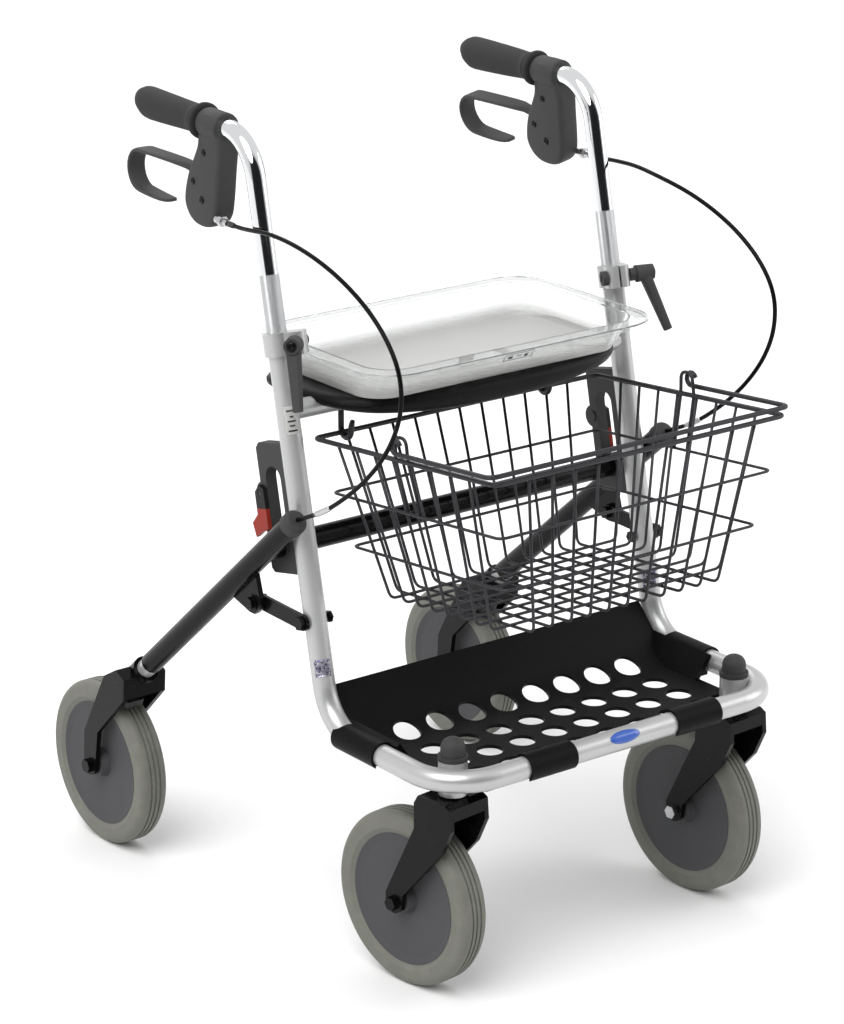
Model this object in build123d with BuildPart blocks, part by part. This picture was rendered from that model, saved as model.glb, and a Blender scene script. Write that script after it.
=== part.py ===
from build123d import *
from math import atan2, cos, degrees, hypot, radians, sin, tan
import os

# Four-wheel walking frame with a seat, a clear tray, a wire basket and a foot shelf.
# Millimetres. +Z is up, the floor is Z = 0, the user walks toward -Y, and X = 0 is the mirror plane.

os.makedirs("parts", exist_ok=True)

# ---- driving sizes -------------------------------------------------------------------------------
sides = (("right", -1), ("left", 1))

# front frame: one bent tube with two leaning legs, two side rails and a front rail
leg_x = 235.0                  # half distance between the leg axes
leg_lean = 12.0                # degrees, the legs lean back toward the user as they rise
leg_foot_y = -131.0            # where a leg axis meets the rail height
rail_z = 265.0
front_rail_y = -345.5
frame_tube_dia = 25.4
frame_tube_wall = 1.5
frame_bend_radius = 60.0
leg_length = 434.0             # from the rail height up the leg axis to the tube's open top
crosstube_dia = 22.0
crosstube_up = 353.7           # up the leg axis from the rail height
seat_strap_x = 105.0
seat_strap_width = 25.0
seat_strap_thickness = 4.0

# casters
caster_x = 200.5
caster_y = -306.0
caster_trail = 62.0
caster_turn = {"right": 7.0, "left": 3.5}    # degrees, how far each caster has swung round
sleeve_dia = 32.0
sleeve_bottom_z = 240.0
sleeve_top_z = 279.0
stem_dia = 16.0

# wheels
wheel_dia = 200.0
tyre_width = 36.0
tyre_depth = 25.0              # radial thickness of the tyre
tyre_shoulder = 9.0
groove_depth = 1.2
groove_width = 2.4
hub_dish = 5.0
hub_boss_dia = 30.0
hub_boss_width = 41.0
axle_dia = 8.0
rear_wheel_x = 265.0
rear_axle_y = 277.3

# rear frame
rear_leg_x = 262.0
rear_rake = 40.9               # degrees below the horizontal
rear_tube_dia = 25.4
rear_tube_wall = 1.5
crossbar_back = 35.0           # crossbar axis behind the leg axis, square to the leg
crossbar_up = 204.7            # crossbar axis up the leg, in use
crossbar_rise = 73.8           # how far it slides up when folded
rear_leg_above = 60.0          # rear leg above the crossbar axis
rear_leg_below = 316.0         # rear leg below it
end_cap_proud = 1.2            # how far the end cap stands out round the rear tube
insert_reach = 40.0            # bright tube showing below the black one
insert_depth = 70.0            # its length inside the black one

# fold guides, latches and links
guide_thickness = 14.0
guide_wall = 12.0
guide_foot_wall = 17.0
guide_head_wall = 26.0
bush_wall = 1.2
link_foot_up = 122.8           # link stud up the leg axis from the rail height
link_pivot = (79.9, 141.7)     # link's rear pivot: behind the leg axis, up the leg
link_thickness = 4.0
stud_dia = 8.0
link_eye = 9.0
latch_pivot = (58.0, 262.0)
latch_thickness = 5.0

# handles
handle_z = 902.0
handle_tube_dia = 22.2
handle_tube_wall = 1.5
handle_bend_radius = 55.0
handle_toe = {-1: 3.1, 1: -0.4}    # degrees, how far each grip turns in toward the other
brake_turn = {-1: 0.0, 1: 12.0}    # degrees, each brake is turned on its tube, lower end outward
handle_foot_up = 268.0         # the handle tube's lower end, up the leg axis
grip_start = 93.0              # from the handle's corner point
grip_end = 229.0
grip_dia = 33.0
grip_flange_dia = 41.0
housing_thickness = 27.0
lever_width = 22.0
lever_strip = 5.0
lever_tongue = 9.0
lever_pivot = (100.0, -66.0)
lever_pin_dia = 5.0

# height clamps
collar_length = 25.0
collar_dia = 33.0
clamp_turn = {"right": 45.0, "left": 22.0}   # degrees, the bolt's outer end swings forward
clamp_bolt_out = 22.0
clamp_lug_width = 27.0
clamp_bolt_dia = 8.0
clamp_lever_reach = 70.0

# seat, tray, shelf and basket
seat_half_width = 207.0
seat_front_y = -126.0
seat_back_y = 58.0
seat_top_z = 628.0
seat_bottom_z = 602.0
tray_half_width = 200.0
tray_front_y = -177.5
tray_back_y = 76.5
tray_rim_z = 668.0
tray_rim_width = 16.0
tray_wall = 2.5
shelf_half_width = 208.0
shelf_floor_z = 250.0
shelf_thickness = 4.0
shelf_back_y = -114.0
shelf_back_z = 307.0
shelf_bend_radius = 60.0
shelf_hole_dia = 30.0
shelf_hole_pitch_x = 45.5
shelf_hole_pitch_y = 41.0
basket_rim = (400.0, 319.0)
basket_floor = (322.0, 240.0)
basket_depth = 180.0
basket_wire = 4.0
basket_rim_wire = 6.0
basket_back_y = -57.4
basket_back_z = 573.6
basket_tilt = 5.25             # degrees, the front of the rim is the higher
basket_columns = 12
basket_side_columns = 9
bail_dia = 6.0
hook_places = (-158.0, 122.0)
hook_strap = 3.0
hook_width = 9.0

# brake cables: outer sheath; the points are given as if both cables were on the left
cable_dia = 5.0
cable_lead = {
    "right": ((244.5, 36.0, 802.0), (245.8, 12.0, 802.0), (250.2, -14.0, 805.5), (252.5, -52.0, 810.0)),
    "left": ((265.0, 36.0, 806.0), (265.0, 12.0, 806.5), (262.5, -14.0, 809.0), (259.0, -52.0, 811.0)),
}
cable_run = (
    (253.5, -98.0, 808.0), (254.5, -146.0, 800.0), (255.5, -192.0, 786.5), (256.5, -235.0, 767.0),
    (257.5, -270.0, 741.0), (258.0, -291.0, 711.0), (258.0, -293.5, 676.0), (258.5, -281.0, 641.0),
    (259.0, -255.0, 605.0), (260.0, -221.0, 572.5), (261.0, -185.0, 545.5), (262.0, -152.0, 524.5),
    (262.0, -112.3, 507.7),
)

# clearances
running_gap = 0.05             # radial, between a pin or shaft and its hole
sliding_gap = 0.1              # radial, between telescoping tubes
free_gap = 0.4                 # between neighbours that move past each other

# ---- derived places ------------------------------------------------------------------------------
lean_cos = cos(radians(leg_lean))
lean_sin = sin(radians(leg_lean))
rake_cos = cos(radians(rear_rake))
rake_sin = sin(radians(rear_rake))
wheel_radius = wheel_dia / 2
hub_radius = wheel_radius - tyre_depth
frame_radius = frame_tube_dia / 2
rear_tube_radius = rear_tube_dia / 2


def leg_point(x, back, up):
    """A point given by its distance behind a leg axis and its distance up the leg."""
    return (x, leg_foot_y + back * lean_cos + up * lean_sin, rail_z - back * lean_sin + up * lean_cos)


def leg_side(x):
    """Sketch plane beside a leg: first axis behind the leg, second axis up the leg."""
    return Plane(origin=leg_point(x, 0, 0), x_dir=(0, lean_cos, -lean_sin), z_dir=(1, 0, 0))


def leg_section(x, up):
    """Sketch plane square to a leg, facing up the leg."""
    return Plane(origin=leg_point(x, 0, up), x_dir=(1, 0, 0), z_dir=(0, lean_sin, lean_cos))


crossbar_x, crossbar_y, crossbar_z = leg_point(0, crossbar_back, crossbar_up)


def rear_leg_point(x, along, below=0.0):
    """A point given by its distance down a rear leg from the crossbar, and its distance under it."""
    return (x, crossbar_y + along * rake_cos - below * rake_sin,
            crossbar_z - along * rake_sin - below * rake_cos)


def rear_leg_section(x, along):
    """Sketch plane square to a rear leg, facing down the leg."""
    return Plane(origin=rear_leg_point(x, along), x_dir=(1, 0, 0), z_dir=(0, rake_cos, -rake_sin))


def rear_leg_side(x):
    """Sketch plane beside a rear leg: first axis down the leg, second axis away from the floor."""
    return Plane(origin=rear_leg_point(x, 0), x_dir=(0, rake_cos, -rake_sin), z_dir=(1, 0, 0))


def handle_corner(sign):
    """Where the leaning part of a handle would meet its level part."""
    up = (handle_z - rail_z) / lean_cos
    return leg_point(sign * leg_x, 0, up)


def handle_side(sign, offset=0.0):
    """Sketch plane through a grip's axis: first axis rearward along the grip, second axis up the brake."""
    toe = radians(handle_toe[sign])
    turn = radians(brake_turn[sign])
    corner = handle_corner(sign)
    across = (cos(toe) * cos(turn), sign * sin(toe) * cos(turn), sign * sin(turn))
    origin = tuple(c + offset * a for c, a in zip(corner, across))
    return Plane(origin=origin, x_dir=(-sign * sin(toe), cos(toe), 0), z_dir=across)


def handle_section(sign, along):
    """Sketch plane square to a grip's axis."""
    toe = radians(handle_toe[sign])
    corner = handle_corner(sign)
    rear = (-sign * sin(toe), cos(toe), 0)
    origin = (corner[0] + along * rear[0], corner[1] + along * rear[1], corner[2])
    return Plane(origin=origin, x_dir=(cos(toe), sign * sin(toe), 0), z_dir=rear)


def adjuster_section(side, sign):
    """Plane at the front end of a cable adjuster, facing into the brake housing."""
    x, y, z = cable_lead[side][0]
    level = handle_section(sign, 0)
    return Plane(origin=(sign * x, y, z), x_dir=level.x_dir, z_dir=level.z_dir)


def caster_plane(side, sign, z):
    """Level sketch plane at a caster's stem, turned with the caster."""
    turn = radians(caster_turn[side])
    return Plane(origin=(sign * caster_x, caster_y, z), x_dir=(cos(turn), sin(turn), 0), z_dir=(0, 0, 1))


def caster_side(side, sign, offset=0.0):
    """Upright sketch plane through a caster's stem: first axis trails rearward, second axis up."""
    turn = radians(caster_turn[side])
    across = (cos(turn), sin(turn), 0)
    origin = (sign * caster_x + offset * across[0], caster_y + offset * across[1], 0)
    return Plane(origin=origin, x_dir=(-sin(turn), cos(turn), 0), z_dir=across)


def clamp_plane(side, sign, up):
    """Plane square to a leg: first axis outward along the clamp bolt."""
    turn = radians(clamp_turn[side])
    outward = (sign * cos(turn), -sin(turn) * lean_cos, sin(turn) * lean_sin)
    return Plane(origin=leg_point(sign * leg_x, 0, up), x_dir=outward, z_dir=(0, lean_sin, lean_cos))


def bolt_plane(side, sign, up, out):
    """Plane square to the clamp bolt, facing outward, at a distance out along it."""
    turn = radians(clamp_turn[side])
    centre = leg_point(sign * leg_x, 0, up)
    front = (-sign * sin(turn), -cos(turn) * lean_cos, cos(turn) * lean_sin)
    outward = (sign * cos(turn), -sin(turn) * lean_cos, sin(turn) * lean_sin)
    origin = tuple(c + clamp_bolt_out * f + out * o for c, f, o in zip(centre, front, outward))
    return Plane(origin=origin, x_dir=front, z_dir=outward)


def save(builder, label):
    builder.part.label = label
    export_step(builder.part, f"parts/{label}.step")


# ---- front frame ---------------------------------------------------------------------------------
with BuildPart() as front_frame:
    with BuildLine() as frame_path:
        FilletPolyline(
            leg_point(-leg_x, 0, leg_length), leg_point(-leg_x, 0, 0), (-leg_x, front_rail_y, rail_z),
            (leg_x, front_rail_y, rail_z), leg_point(leg_x, 0, 0), leg_point(leg_x, 0, leg_length),
            radius=frame_bend_radius)
    frame_wire = frame_path.wire()
    frame_start = Plane(origin=frame_wire @ 0, z_dir=frame_wire % 0)
    with BuildSketch(frame_start):
        Circle(frame_radius)
    sweep(path=frame_wire)
    # caster sleeves inside the two front corners
    sleeve_height = sleeve_top_z - sleeve_bottom_z
    with BuildSketch(Plane.XY.offset(sleeve_bottom_z)):
        with Locations((-caster_x, caster_y), (caster_x, caster_y)):
            Circle(sleeve_dia / 2)
    extrude(amount=sleeve_height)
    # crosstube under the seat, with two flat straps that carry the seat's back
    with BuildSketch(Plane.YZ.offset(-leg_x)):
        with Locations(leg_point(0, 0, crosstube_up)[1:]):
            Circle(crosstube_dia / 2)
    extrude(amount=2 * leg_x)
    strap_start_y = leg_point(0, 0, crosstube_up)[1]
    strap_end_y = seat_back_y - 25.0
    for x in (-seat_strap_x, seat_strap_x):
        with BuildSketch(Plane.XY.offset(seat_bottom_z - seat_strap_thickness)):
            with Locations((x, (strap_start_y + strap_end_y) / 2)):
                Rectangle(seat_strap_width, strap_end_y - strap_start_y)
        extrude(amount=seat_strap_thickness)
    # hollow the bent tube, then bore the sleeves and the stud holes
    with BuildSketch(frame_start):
        Circle(frame_radius - frame_tube_wall)
    sweep(path=frame_wire, mode=Mode.SUBTRACT)
    with BuildSketch(Plane.XY.offset(sleeve_bottom_z)):
        with Locations((-caster_x, caster_y), (caster_x, caster_y)):
            Circle(stem_dia / 2 + running_gap)
    extrude(amount=sleeve_height, mode=Mode.SUBTRACT)
    for sign in (-1, 1):
        with BuildSketch(leg_side(sign * leg_x)):
            with Locations((0, link_foot_up)):
                Circle(stud_dia / 2)
        extrude(amount=frame_tube_dia, both=True, mode=Mode.SUBTRACT)
save(front_frame, "front_frame")

# ---- height clamps -------------------------------------------------------------------------------
collar_foot = leg_length + 6.0 - collar_length
bolt_up = collar_foot + collar_length / 2
lug_reach = clamp_bolt_out + 9.5
for side, sign in sides:
    lug_sign = -sign           # the lugs' direction along the clamp plane's second axis
    with BuildPart() as height_collar:
        with BuildSketch(clamp_plane(side, sign, collar_foot)):
            Circle(collar_dia / 2)
            with Locations((0, lug_sign * lug_reach / 2)):
                Rectangle(clamp_lug_width, lug_reach)
        extrude(amount=collar_length)
        lug_corners = height_collar.edges().filter_by(Axis(Vector(0, 0, 0), Vector(0, lean_sin, lean_cos)))
        fillet(lug_corners.sort_by_distance(leg_point(sign * leg_x, 0, bolt_up))[-2:], radius=9.0)
        with BuildSketch(clamp_plane(side, sign, collar_foot)):
            Circle(frame_radius)
        extrude(amount=leg_length - collar_foot, mode=Mode.SUBTRACT)
        with BuildSketch(clamp_plane(side, sign, collar_foot)):
            Circle(handle_tube_dia / 2 + sliding_gap)
            with Locations((0, lug_sign * lug_reach / 2)):
                Rectangle(2.5, lug_reach)
        extrude(amount=collar_length, mode=Mode.SUBTRACT)
        with BuildSketch(bolt_plane(side, sign, bolt_up, -clamp_lug_width)):
            Circle(clamp_bolt_dia / 2 + running_gap)
        extrude(amount=2 * clamp_lug_width, mode=Mode.SUBTRACT)
    save(height_collar, f"height_collar_{side}")

    with BuildPart() as clamp_knob:
        with BuildSketch(bolt_plane(side, sign, bolt_up, -clamp_lug_width / 2)):
            Circle(8.5)
            Circle(clamp_bolt_dia / 2 + running_gap, mode=Mode.SUBTRACT)
        extrude(amount=-6.0)
    save(clamp_knob, f"clamp_knob_{side}")

    with BuildPart() as clamp_lever:
        # bolt from the knob to the hub
        with BuildSketch(bolt_plane(side, sign, bolt_up, -clamp_lug_width / 2 - 5.0)):
            Circle(clamp_bolt_dia / 2)
        extrude(amount=clamp_lug_width + 10.0)
        # narrow neck, wide hub and a slanting blade
        with BuildSketch(bolt_plane(side, sign, bolt_up, clamp_lug_width / 2 + free_gap)):
            Circle(7.5)
        extrude(amount=8.0)
        with BuildSketch(bolt_plane(side, sign, bolt_up, clamp_lug_width / 2 + 8.0)):
            Circle(10.0)
        extrude(amount=21.0, taper=3.0)
        hub_out = clamp_lug_width / 2 + 18.0
        blade_top = bolt_plane(side, sign, bolt_up, hub_out)
        down = Vector(0, -lean_sin, -lean_cos)
        blade_dir = (down * cos(radians(17.0)) + blade_top.z_dir * sin(radians(17.0))).normalized()
        blade_origin = blade_top.origin + blade_dir * 2.0
        with BuildSketch(Plane(origin=blade_origin, x_dir=blade_top.x_dir, z_dir=blade_dir)):
            RectangleRounded(17.0, 13.0, 5.0)
        with BuildSketch(Plane(origin=blade_origin + blade_dir * clamp_lever_reach,
                               x_dir=blade_top.x_dir, z_dir=blade_dir)):
            RectangleRounded(11.0, 10.0, 4.0)
        loft()
    save(clamp_lever, f"clamp_lever_{side}")

# ---- fold guides, latches, link studs and links --------------------------------------------------
bush_radius = rear_tube_radius + bush_wall
slot_radius = bush_radius + free_gap
guide_back = crossbar_back + slot_radius + guide_wall
guide_foot = crossbar_up - slot_radius - guide_foot_wall
guide_top = crossbar_up + crossbar_rise + slot_radius + guide_head_wall
for side, sign in sides:
    guide_plane = leg_side(sign * leg_x)
    with BuildPart() as fold_guide:
        with BuildSketch(guide_plane):
            with BuildLine():
                Polyline((5, guide_foot), (guide_back - 5, guide_foot), (guide_back, guide_foot + 5),
                         (guide_back, guide_top - 6), (guide_back - 6, guide_top), (5, guide_top),
                         close=True)
            make_face()
            with Locations(latch_pivot):
                Circle(13.0)
        extrude(amount=guide_thickness / 2, both=True)
        with BuildSketch(guide_plane):
            with Locations((crossbar_back, crossbar_up + crossbar_rise / 2)):
                SlotCenterToCenter(crossbar_rise, 2 * slot_radius, rotation=90)
        extrude(amount=guide_thickness, both=True, mode=Mode.SUBTRACT)
        with BuildSketch(leg_section(sign * leg_x, guide_foot - 5)):
            Circle(frame_radius)
        extrude(amount=guide_top - guide_foot + 10, mode=Mode.SUBTRACT)
        # pin on which the latch turns, on the outer face
        with BuildSketch(leg_side(sign * (leg_x + guide_thickness / 2))):
            with Locations(latch_pivot):
                Circle(3.0)
        extrude(amount=sign * latch_thickness)
        # rivet head on the inner face
        with BuildSketch(leg_side(sign * (leg_x - guide_thickness / 2))):
            with Locations(latch_pivot):
                Circle(6.0)
        extrude(amount=-sign * 1.5)
    save(fold_guide, f"fold_guide_{side}")

    latch_face = leg_side(sign * (leg_x + guide_thickness / 2 + free_gap))
    latch_nose = crossbar_back + slot_radius + free_gap
    with BuildPart() as fold_latch:
        with BuildSketch(latch_face):
            with BuildLine():
                Polyline((latch_nose, crossbar_up + 18), (latch_nose + 14, crossbar_up + 14),
                         (guide_back + 14, crossbar_up + 8), (guide_back + 18, crossbar_up + 24),
                         (guide_back + 6, crossbar_up + 34), (latch_pivot[0] + 9, latch_pivot[1] + 2),
                         (latch_pivot[0], latch_pivot[1] + 10), (latch_pivot[0] - 8, latch_pivot[1] + 6),
                         (latch_nose, latch_pivot[1] - 12), close=True)
            make_face()
            with Locations(latch_pivot):
                Circle(3.0 + running_gap, mode=Mode.SUBTRACT)
        extrude(amount=sign * latch_thickness)
    save(fold_latch, f"fold_latch_{side}")

    stud_plane = leg_side(sign * (leg_x - frame_radius - 3))
    with BuildPart() as link_stud:
        with BuildSketch(stud_plane):
            with Locations((0, link_foot_up)):
                Circle(stud_dia / 2)
        extrude(amount=sign * (2 * frame_radius + 3 + 1.5 + link_thickness + 0.9))
        with BuildSketch(leg_side(sign * (leg_x + frame_radius + 1.5 + link_thickness + 0.5))):
            with Locations((0, link_foot_up)):
                RegularPolygon(8.0, 6)
        extrude(amount=sign * 5.0)
        with BuildSketch(stud_plane):
            with Locations((0, link_foot_up)):
                RegularPolygon(7.0, 6)
        extrude(amount=-sign * 4.0)
    save(link_stud, f"link_stud_{side}")

    link_side = leg_side(sign * (leg_x + frame_radius + 1.5))
    link_angle = degrees(atan2(link_pivot[1] - link_foot_up, link_pivot[0]))
    link_length = hypot(link_pivot[0], link_pivot[1] - link_foot_up)
    link_middle = (link_pivot[0] / 2, (link_pivot[1] + link_foot_up) / 2)
    with BuildPart() as fold_link:
        with BuildSketch(link_side):
            with Locations(link_middle):
                SlotCenterToCenter(link_length, 2 * link_eye, rotation=link_angle)
            with Locations((0, link_foot_up)):
                Circle(stud_dia / 2 + running_gap, mode=Mode.SUBTRACT)
        extrude(amount=sign * link_thickness)
        # nut on the inner face of the link's rear end
        with BuildSketch(link_side):
            with Locations(link_pivot):
                RegularPolygon(7.5, 6)
        extrude(amount=-sign * 5.0)
    save(fold_link, f"fold_link_{side}")

# ---- rear frame ----------------------------------------------------------------------------------
bracket_inner = leg_x + frame_radius + 1.5 + link_thickness + 2.0
bracket_thickness = 6.0
pivot_point = leg_point(0, *link_pivot)
pivot_along = (pivot_point[1] - crossbar_y) * rake_cos - (pivot_point[2] - crossbar_z) * rake_sin
pivot_below = -(pivot_point[1] - crossbar_y) * rake_sin - (pivot_point[2] - crossbar_z) * rake_cos
with BuildPart() as rear_frame:
    with BuildSketch(Plane.YZ.offset(-rear_leg_x)):
        with Locations((crossbar_y, crossbar_z)):
            Circle(rear_tube_radius)
    extrude(amount=2 * rear_leg_x)
    for sign in (-1, 1):
        with BuildSketch(rear_leg_section(sign * rear_leg_x, -rear_leg_above)):
            Circle(rear_tube_radius)
        extrude(amount=rear_leg_above + rear_leg_below)
        # bracket under the leg, with its bolt head and washer outside
        with BuildSketch(rear_leg_side(sign * bracket_inner)):
            with BuildLine():
                Polyline((pivot_along - 28, -rear_tube_radius + 4), (pivot_along - 13, -pivot_below - 8),
                         (pivot_along - 6, -pivot_below - 12), (pivot_along + 6, -pivot_below - 12),
                         (pivot_along + 13, -pivot_below - 6), (pivot_along + 34, -rear_tube_radius + 4),
                         close=True)
            make_face()
        extrude(amount=sign * bracket_thickness)
        with BuildSketch(rear_leg_side(sign * (bracket_inner + bracket_thickness))):
            with Locations((pivot_along, -pivot_below)):
                Circle(9.0)
        extrude(amount=sign * 1.6)
        with BuildSketch(rear_leg_side(sign * (bracket_inner + bracket_thickness + 1.6))):
            with Locations((pivot_along, -pivot_below)):
                RegularPolygon(7.0, 6)
        extrude(amount=sign * 5.0)
    for sign in (-1, 1):
        with BuildSketch(rear_leg_section(sign * rear_leg_x, -rear_leg_above)):
            Circle(rear_tube_radius - rear_tube_wall)
        extrude(amount=rear_leg_above + rear_leg_below, mode=Mode.SUBTRACT)
save(rear_frame, "rear_frame")

rear_fork_gap = 5.0
fork_arm = 6.0
shoe_angle = 116.5             # degrees, direction from the axle to the shoe
shoe_gap = 3.0
shoe_stem_dia = 8.0
shoe_stem_end = 137.0          # distance from the axle
crown_along = rear_leg_below + insert_reach
for side, sign in sides:
    with BuildPart() as crossbar_bush:
        with BuildSketch(Plane.YZ.offset(sign * leg_x - guide_thickness / 2 - 3)):
            with Locations((crossbar_y, crossbar_z)):
                Circle(bush_radius)
                Circle(rear_tube_radius + running_gap, mode=Mode.SUBTRACT)
        extrude(amount=guide_thickness + 6)
    save(crossbar_bush, f"crossbar_bush_{side}")

    with BuildPart() as leg_end_cap:
        with BuildSketch(rear_leg_section(sign * rear_leg_x, -rear_leg_above)):
            Circle(rear_tube_radius + end_cap_proud)
        extrude(amount=-15.0)
        fillet(leg_end_cap.faces().sort_by(Axis.Z)[-1].edges(), radius=6.0)
        with BuildSketch(rear_leg_section(sign * rear_leg_x, -rear_leg_above)):
            Circle(rear_tube_radius - rear_tube_wall)
        extrude(amount=12.0)
    save(leg_end_cap, f"leg_end_cap_{side}")

    with BuildPart() as leg_insert:
        with BuildSketch(rear_leg_section(sign * rear_leg_x, rear_leg_below - insert_depth)):
            Circle(rear_tube_radius - rear_tube_wall)
            Circle(rear_tube_radius - rear_tube_wall - 1.5, mode=Mode.SUBTRACT)
        extrude(amount=insert_depth + insert_reach)
    save(leg_insert, f"leg_insert_{side}")

    # rear fork: a crown above the tyre and two arms down to the axle
    fork_inside = tyre_width / 2 + rear_fork_gap
    crown_y, crown_z = rear_leg_point(0, crown_along)[1:]
    wheel_centre = Vector(sign * rear_wheel_x, rear_axle_y, wheel_radius)
    shoe_dir = Vector(0, cos(radians(shoe_angle)), sin(radians(shoe_angle)))
    with BuildPart() as rear_fork:
        for lateral in (-1, 1):
            arm_x = sign * rear_wheel_x + lateral * fork_inside - (fork_arm if lateral < 0 else 0)
            with BuildSketch(Plane.YZ.offset(arm_x)):
                with BuildLine():
                    arm_left = (crown_y - 17, crown_z - 18)
                    arm_right = (crown_y + 24, crown_z + 1)
                    Polyline(arm_left, (crown_y - 19, crown_z + 8), (crown_y - 2, crown_z + 16), arm_right,
                             (rear_axle_y + 9, wheel_radius + 42), (rear_axle_y + 12, wheel_radius),
                             (rear_axle_y - 12, wheel_radius - 2), (rear_axle_y - 20, wheel_radius + 48),
                             close=True)
                make_face()
                with Locations((rear_axle_y, wheel_radius)):
                    Circle(12.0)
                    Circle(axle_dia / 2 + running_gap, mode=Mode.SUBTRACT)
            extrude(amount=fork_arm)
        crown_from = sign * rear_wheel_x - fork_inside - fork_arm
        with BuildSketch(Plane.YZ.offset(crown_from)):
            with BuildLine():
                Polyline((crown_y - 17, crown_z - 18), (crown_y - 19, crown_z + 8), (crown_y - 2, crown_z + 16),
                         (crown_y + 24, crown_z + 1), (crown_y + 24, crown_z - 18), close=True)
            make_face()
        extrude(amount=2 * (fork_inside + fork_arm))
        # socket that takes the bright tube
        with BuildSketch(rear_leg_section(sign * rear_leg_x, rear_leg_below + insert_reach - 24)):
            Circle(rear_tube_radius + 3.0)
        extrude(amount=30.0)
        with BuildSketch(rear_leg_section(sign * rear_leg_x, rear_leg_below - insert_depth)):
            Circle(rear_tube_radius - rear_tube_wall)
        extrude(amount=insert_depth + insert_reach, mode=Mode.SUBTRACT)
        with BuildSketch(Plane.YZ.offset(sign * rear_wheel_x - fork_inside)):
            with Locations((rear_axle_y, wheel_radius)):
                Circle(wheel_radius + rear_fork_gap)
        extrude(amount=2 * fork_inside, mode=Mode.SUBTRACT)
        # bore for the brake shoe's stem
        with BuildSketch(Plane(origin=wheel_centre + shoe_dir * wheel_radius, x_dir=(1, 0, 0), z_dir=shoe_dir)):
            Circle(shoe_stem_dia / 2 + running_gap)
        extrude(amount=shoe_stem_end - wheel_radius + 1.0, mode=Mode.SUBTRACT)
    save(rear_fork, f"rear_fork_{side}")

    with BuildPart() as rear_axle:
        reach = fork_inside + fork_arm
        with BuildSketch(Plane.YZ.offset(sign * rear_wheel_x - reach)):
            with Locations((rear_axle_y, wheel_radius)):
                Circle(axle_dia / 2)
        extrude(amount=2 * reach)
        for lateral in (-1, 1):
            with BuildSketch(Plane.YZ.offset(sign * rear_wheel_x + lateral * reach)):
                with Locations((rear_axle_y, wheel_radius)):
                    RegularPolygon(8.5, 6)
            extrude(amount=lateral * 6.0)
    save(rear_axle, f"rear_axle_{side}")

    # brake shoe: a block facing the tyre, on a stem that slides in the crown
    shoe_centre = wheel_centre + shoe_dir * (wheel_radius + shoe_gap)
    with BuildPart() as brake_shoe:
        with BuildSketch(Plane(origin=shoe_centre - shoe_dir * 4, x_dir=(1, 0, 0), z_dir=shoe_dir)):
            RectangleRounded(26.0, 26.0, 4.0)
        extrude(amount=13.0)
        with BuildSketch(Plane.YZ.offset(sign * rear_wheel_x - 30)):
            with Locations((rear_axle_y, wheel_radius)):
                Circle(wheel_radius + shoe_gap)
        extrude(amount=60, mode=Mode.SUBTRACT)
        with BuildSketch(Plane(origin=shoe_centre + shoe_dir * 4, x_dir=(1, 0, 0), z_dir=shoe_dir)):
            Circle(shoe_stem_dia / 2)
        extrude(amount=shoe_stem_end - wheel_radius - shoe_gap - 4)
    save(brake_shoe, f"brake_shoe_{side}")

# ---- wheels --------------------------------------------------------------------------------------
half_width = tyre_width / 2
tread_radius = wheel_radius - tyre_shoulder
rim_half = half_width - 2.5
boss = hub_boss_width / 2
for side, sign in sides:
    places = (("rear", Vector(sign * rear_wheel_x, rear_axle_y, wheel_radius), Vector(1, 0, 0)),
              ("front", caster_side(side, sign).origin + caster_side(side, sign).x_dir * caster_trail
               + Vector(0, 0, wheel_radius), caster_side(side, sign).z_dir))
    for end, centre, across in places:
        section = Plane(origin=centre, x_dir=(0, 0, 1), z_dir=Vector(0, 0, 1).cross(across))
        with BuildPart() as tyre:
            # half section: first axis out from the axle, second axis across the tread
            with BuildSketch(section):
                with BuildLine():
                    Polyline((tread_radius, -half_width), (hub_radius + 6, -half_width),
                             (hub_radius, -half_width + 3), (hub_radius, half_width - 3),
                             (hub_radius + 6, half_width), (tread_radius, half_width))
                    RadiusArc((tread_radius, half_width), (wheel_radius, half_width - tyre_shoulder),
                              tyre_shoulder)
                    Line((wheel_radius, half_width - tyre_shoulder),
                         (wheel_radius, -half_width + tyre_shoulder))
                    RadiusArc((wheel_radius, -half_width + tyre_shoulder), (tread_radius, -half_width),
                              tyre_shoulder)
                make_face()
                with Locations(*((wheel_radius, across_tread) for across_tread in (-6.0, 0.0, 6.0))):
                    Rectangle(2 * groove_depth, groove_width, mode=Mode.SUBTRACT)
            revolve(axis=Axis(centre, across))
        save(tyre, f"{end}_tyre_{side}")
        with BuildPart() as hub:
            # half section of the dished hub
            with BuildSketch(section):
                with BuildLine():
                    Polyline((axle_dia / 2 + running_gap, -boss), (hub_boss_dia / 2, -boss),
                             (hub_boss_dia / 2 + 3, -rim_half + hub_dish), (hub_radius - 8, -rim_half + 2),
                             (hub_radius, -rim_half), (hub_radius, rim_half), (hub_radius - 8, rim_half - 2),
                             (hub_boss_dia / 2 + 3, rim_half - hub_dish), (hub_boss_dia / 2, boss),
                             (axle_dia / 2 + running_gap, boss), close=True)
                make_face()
            revolve(axis=Axis(centre, across))
        save(hub, f"{end}_hub_{side}")

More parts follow.
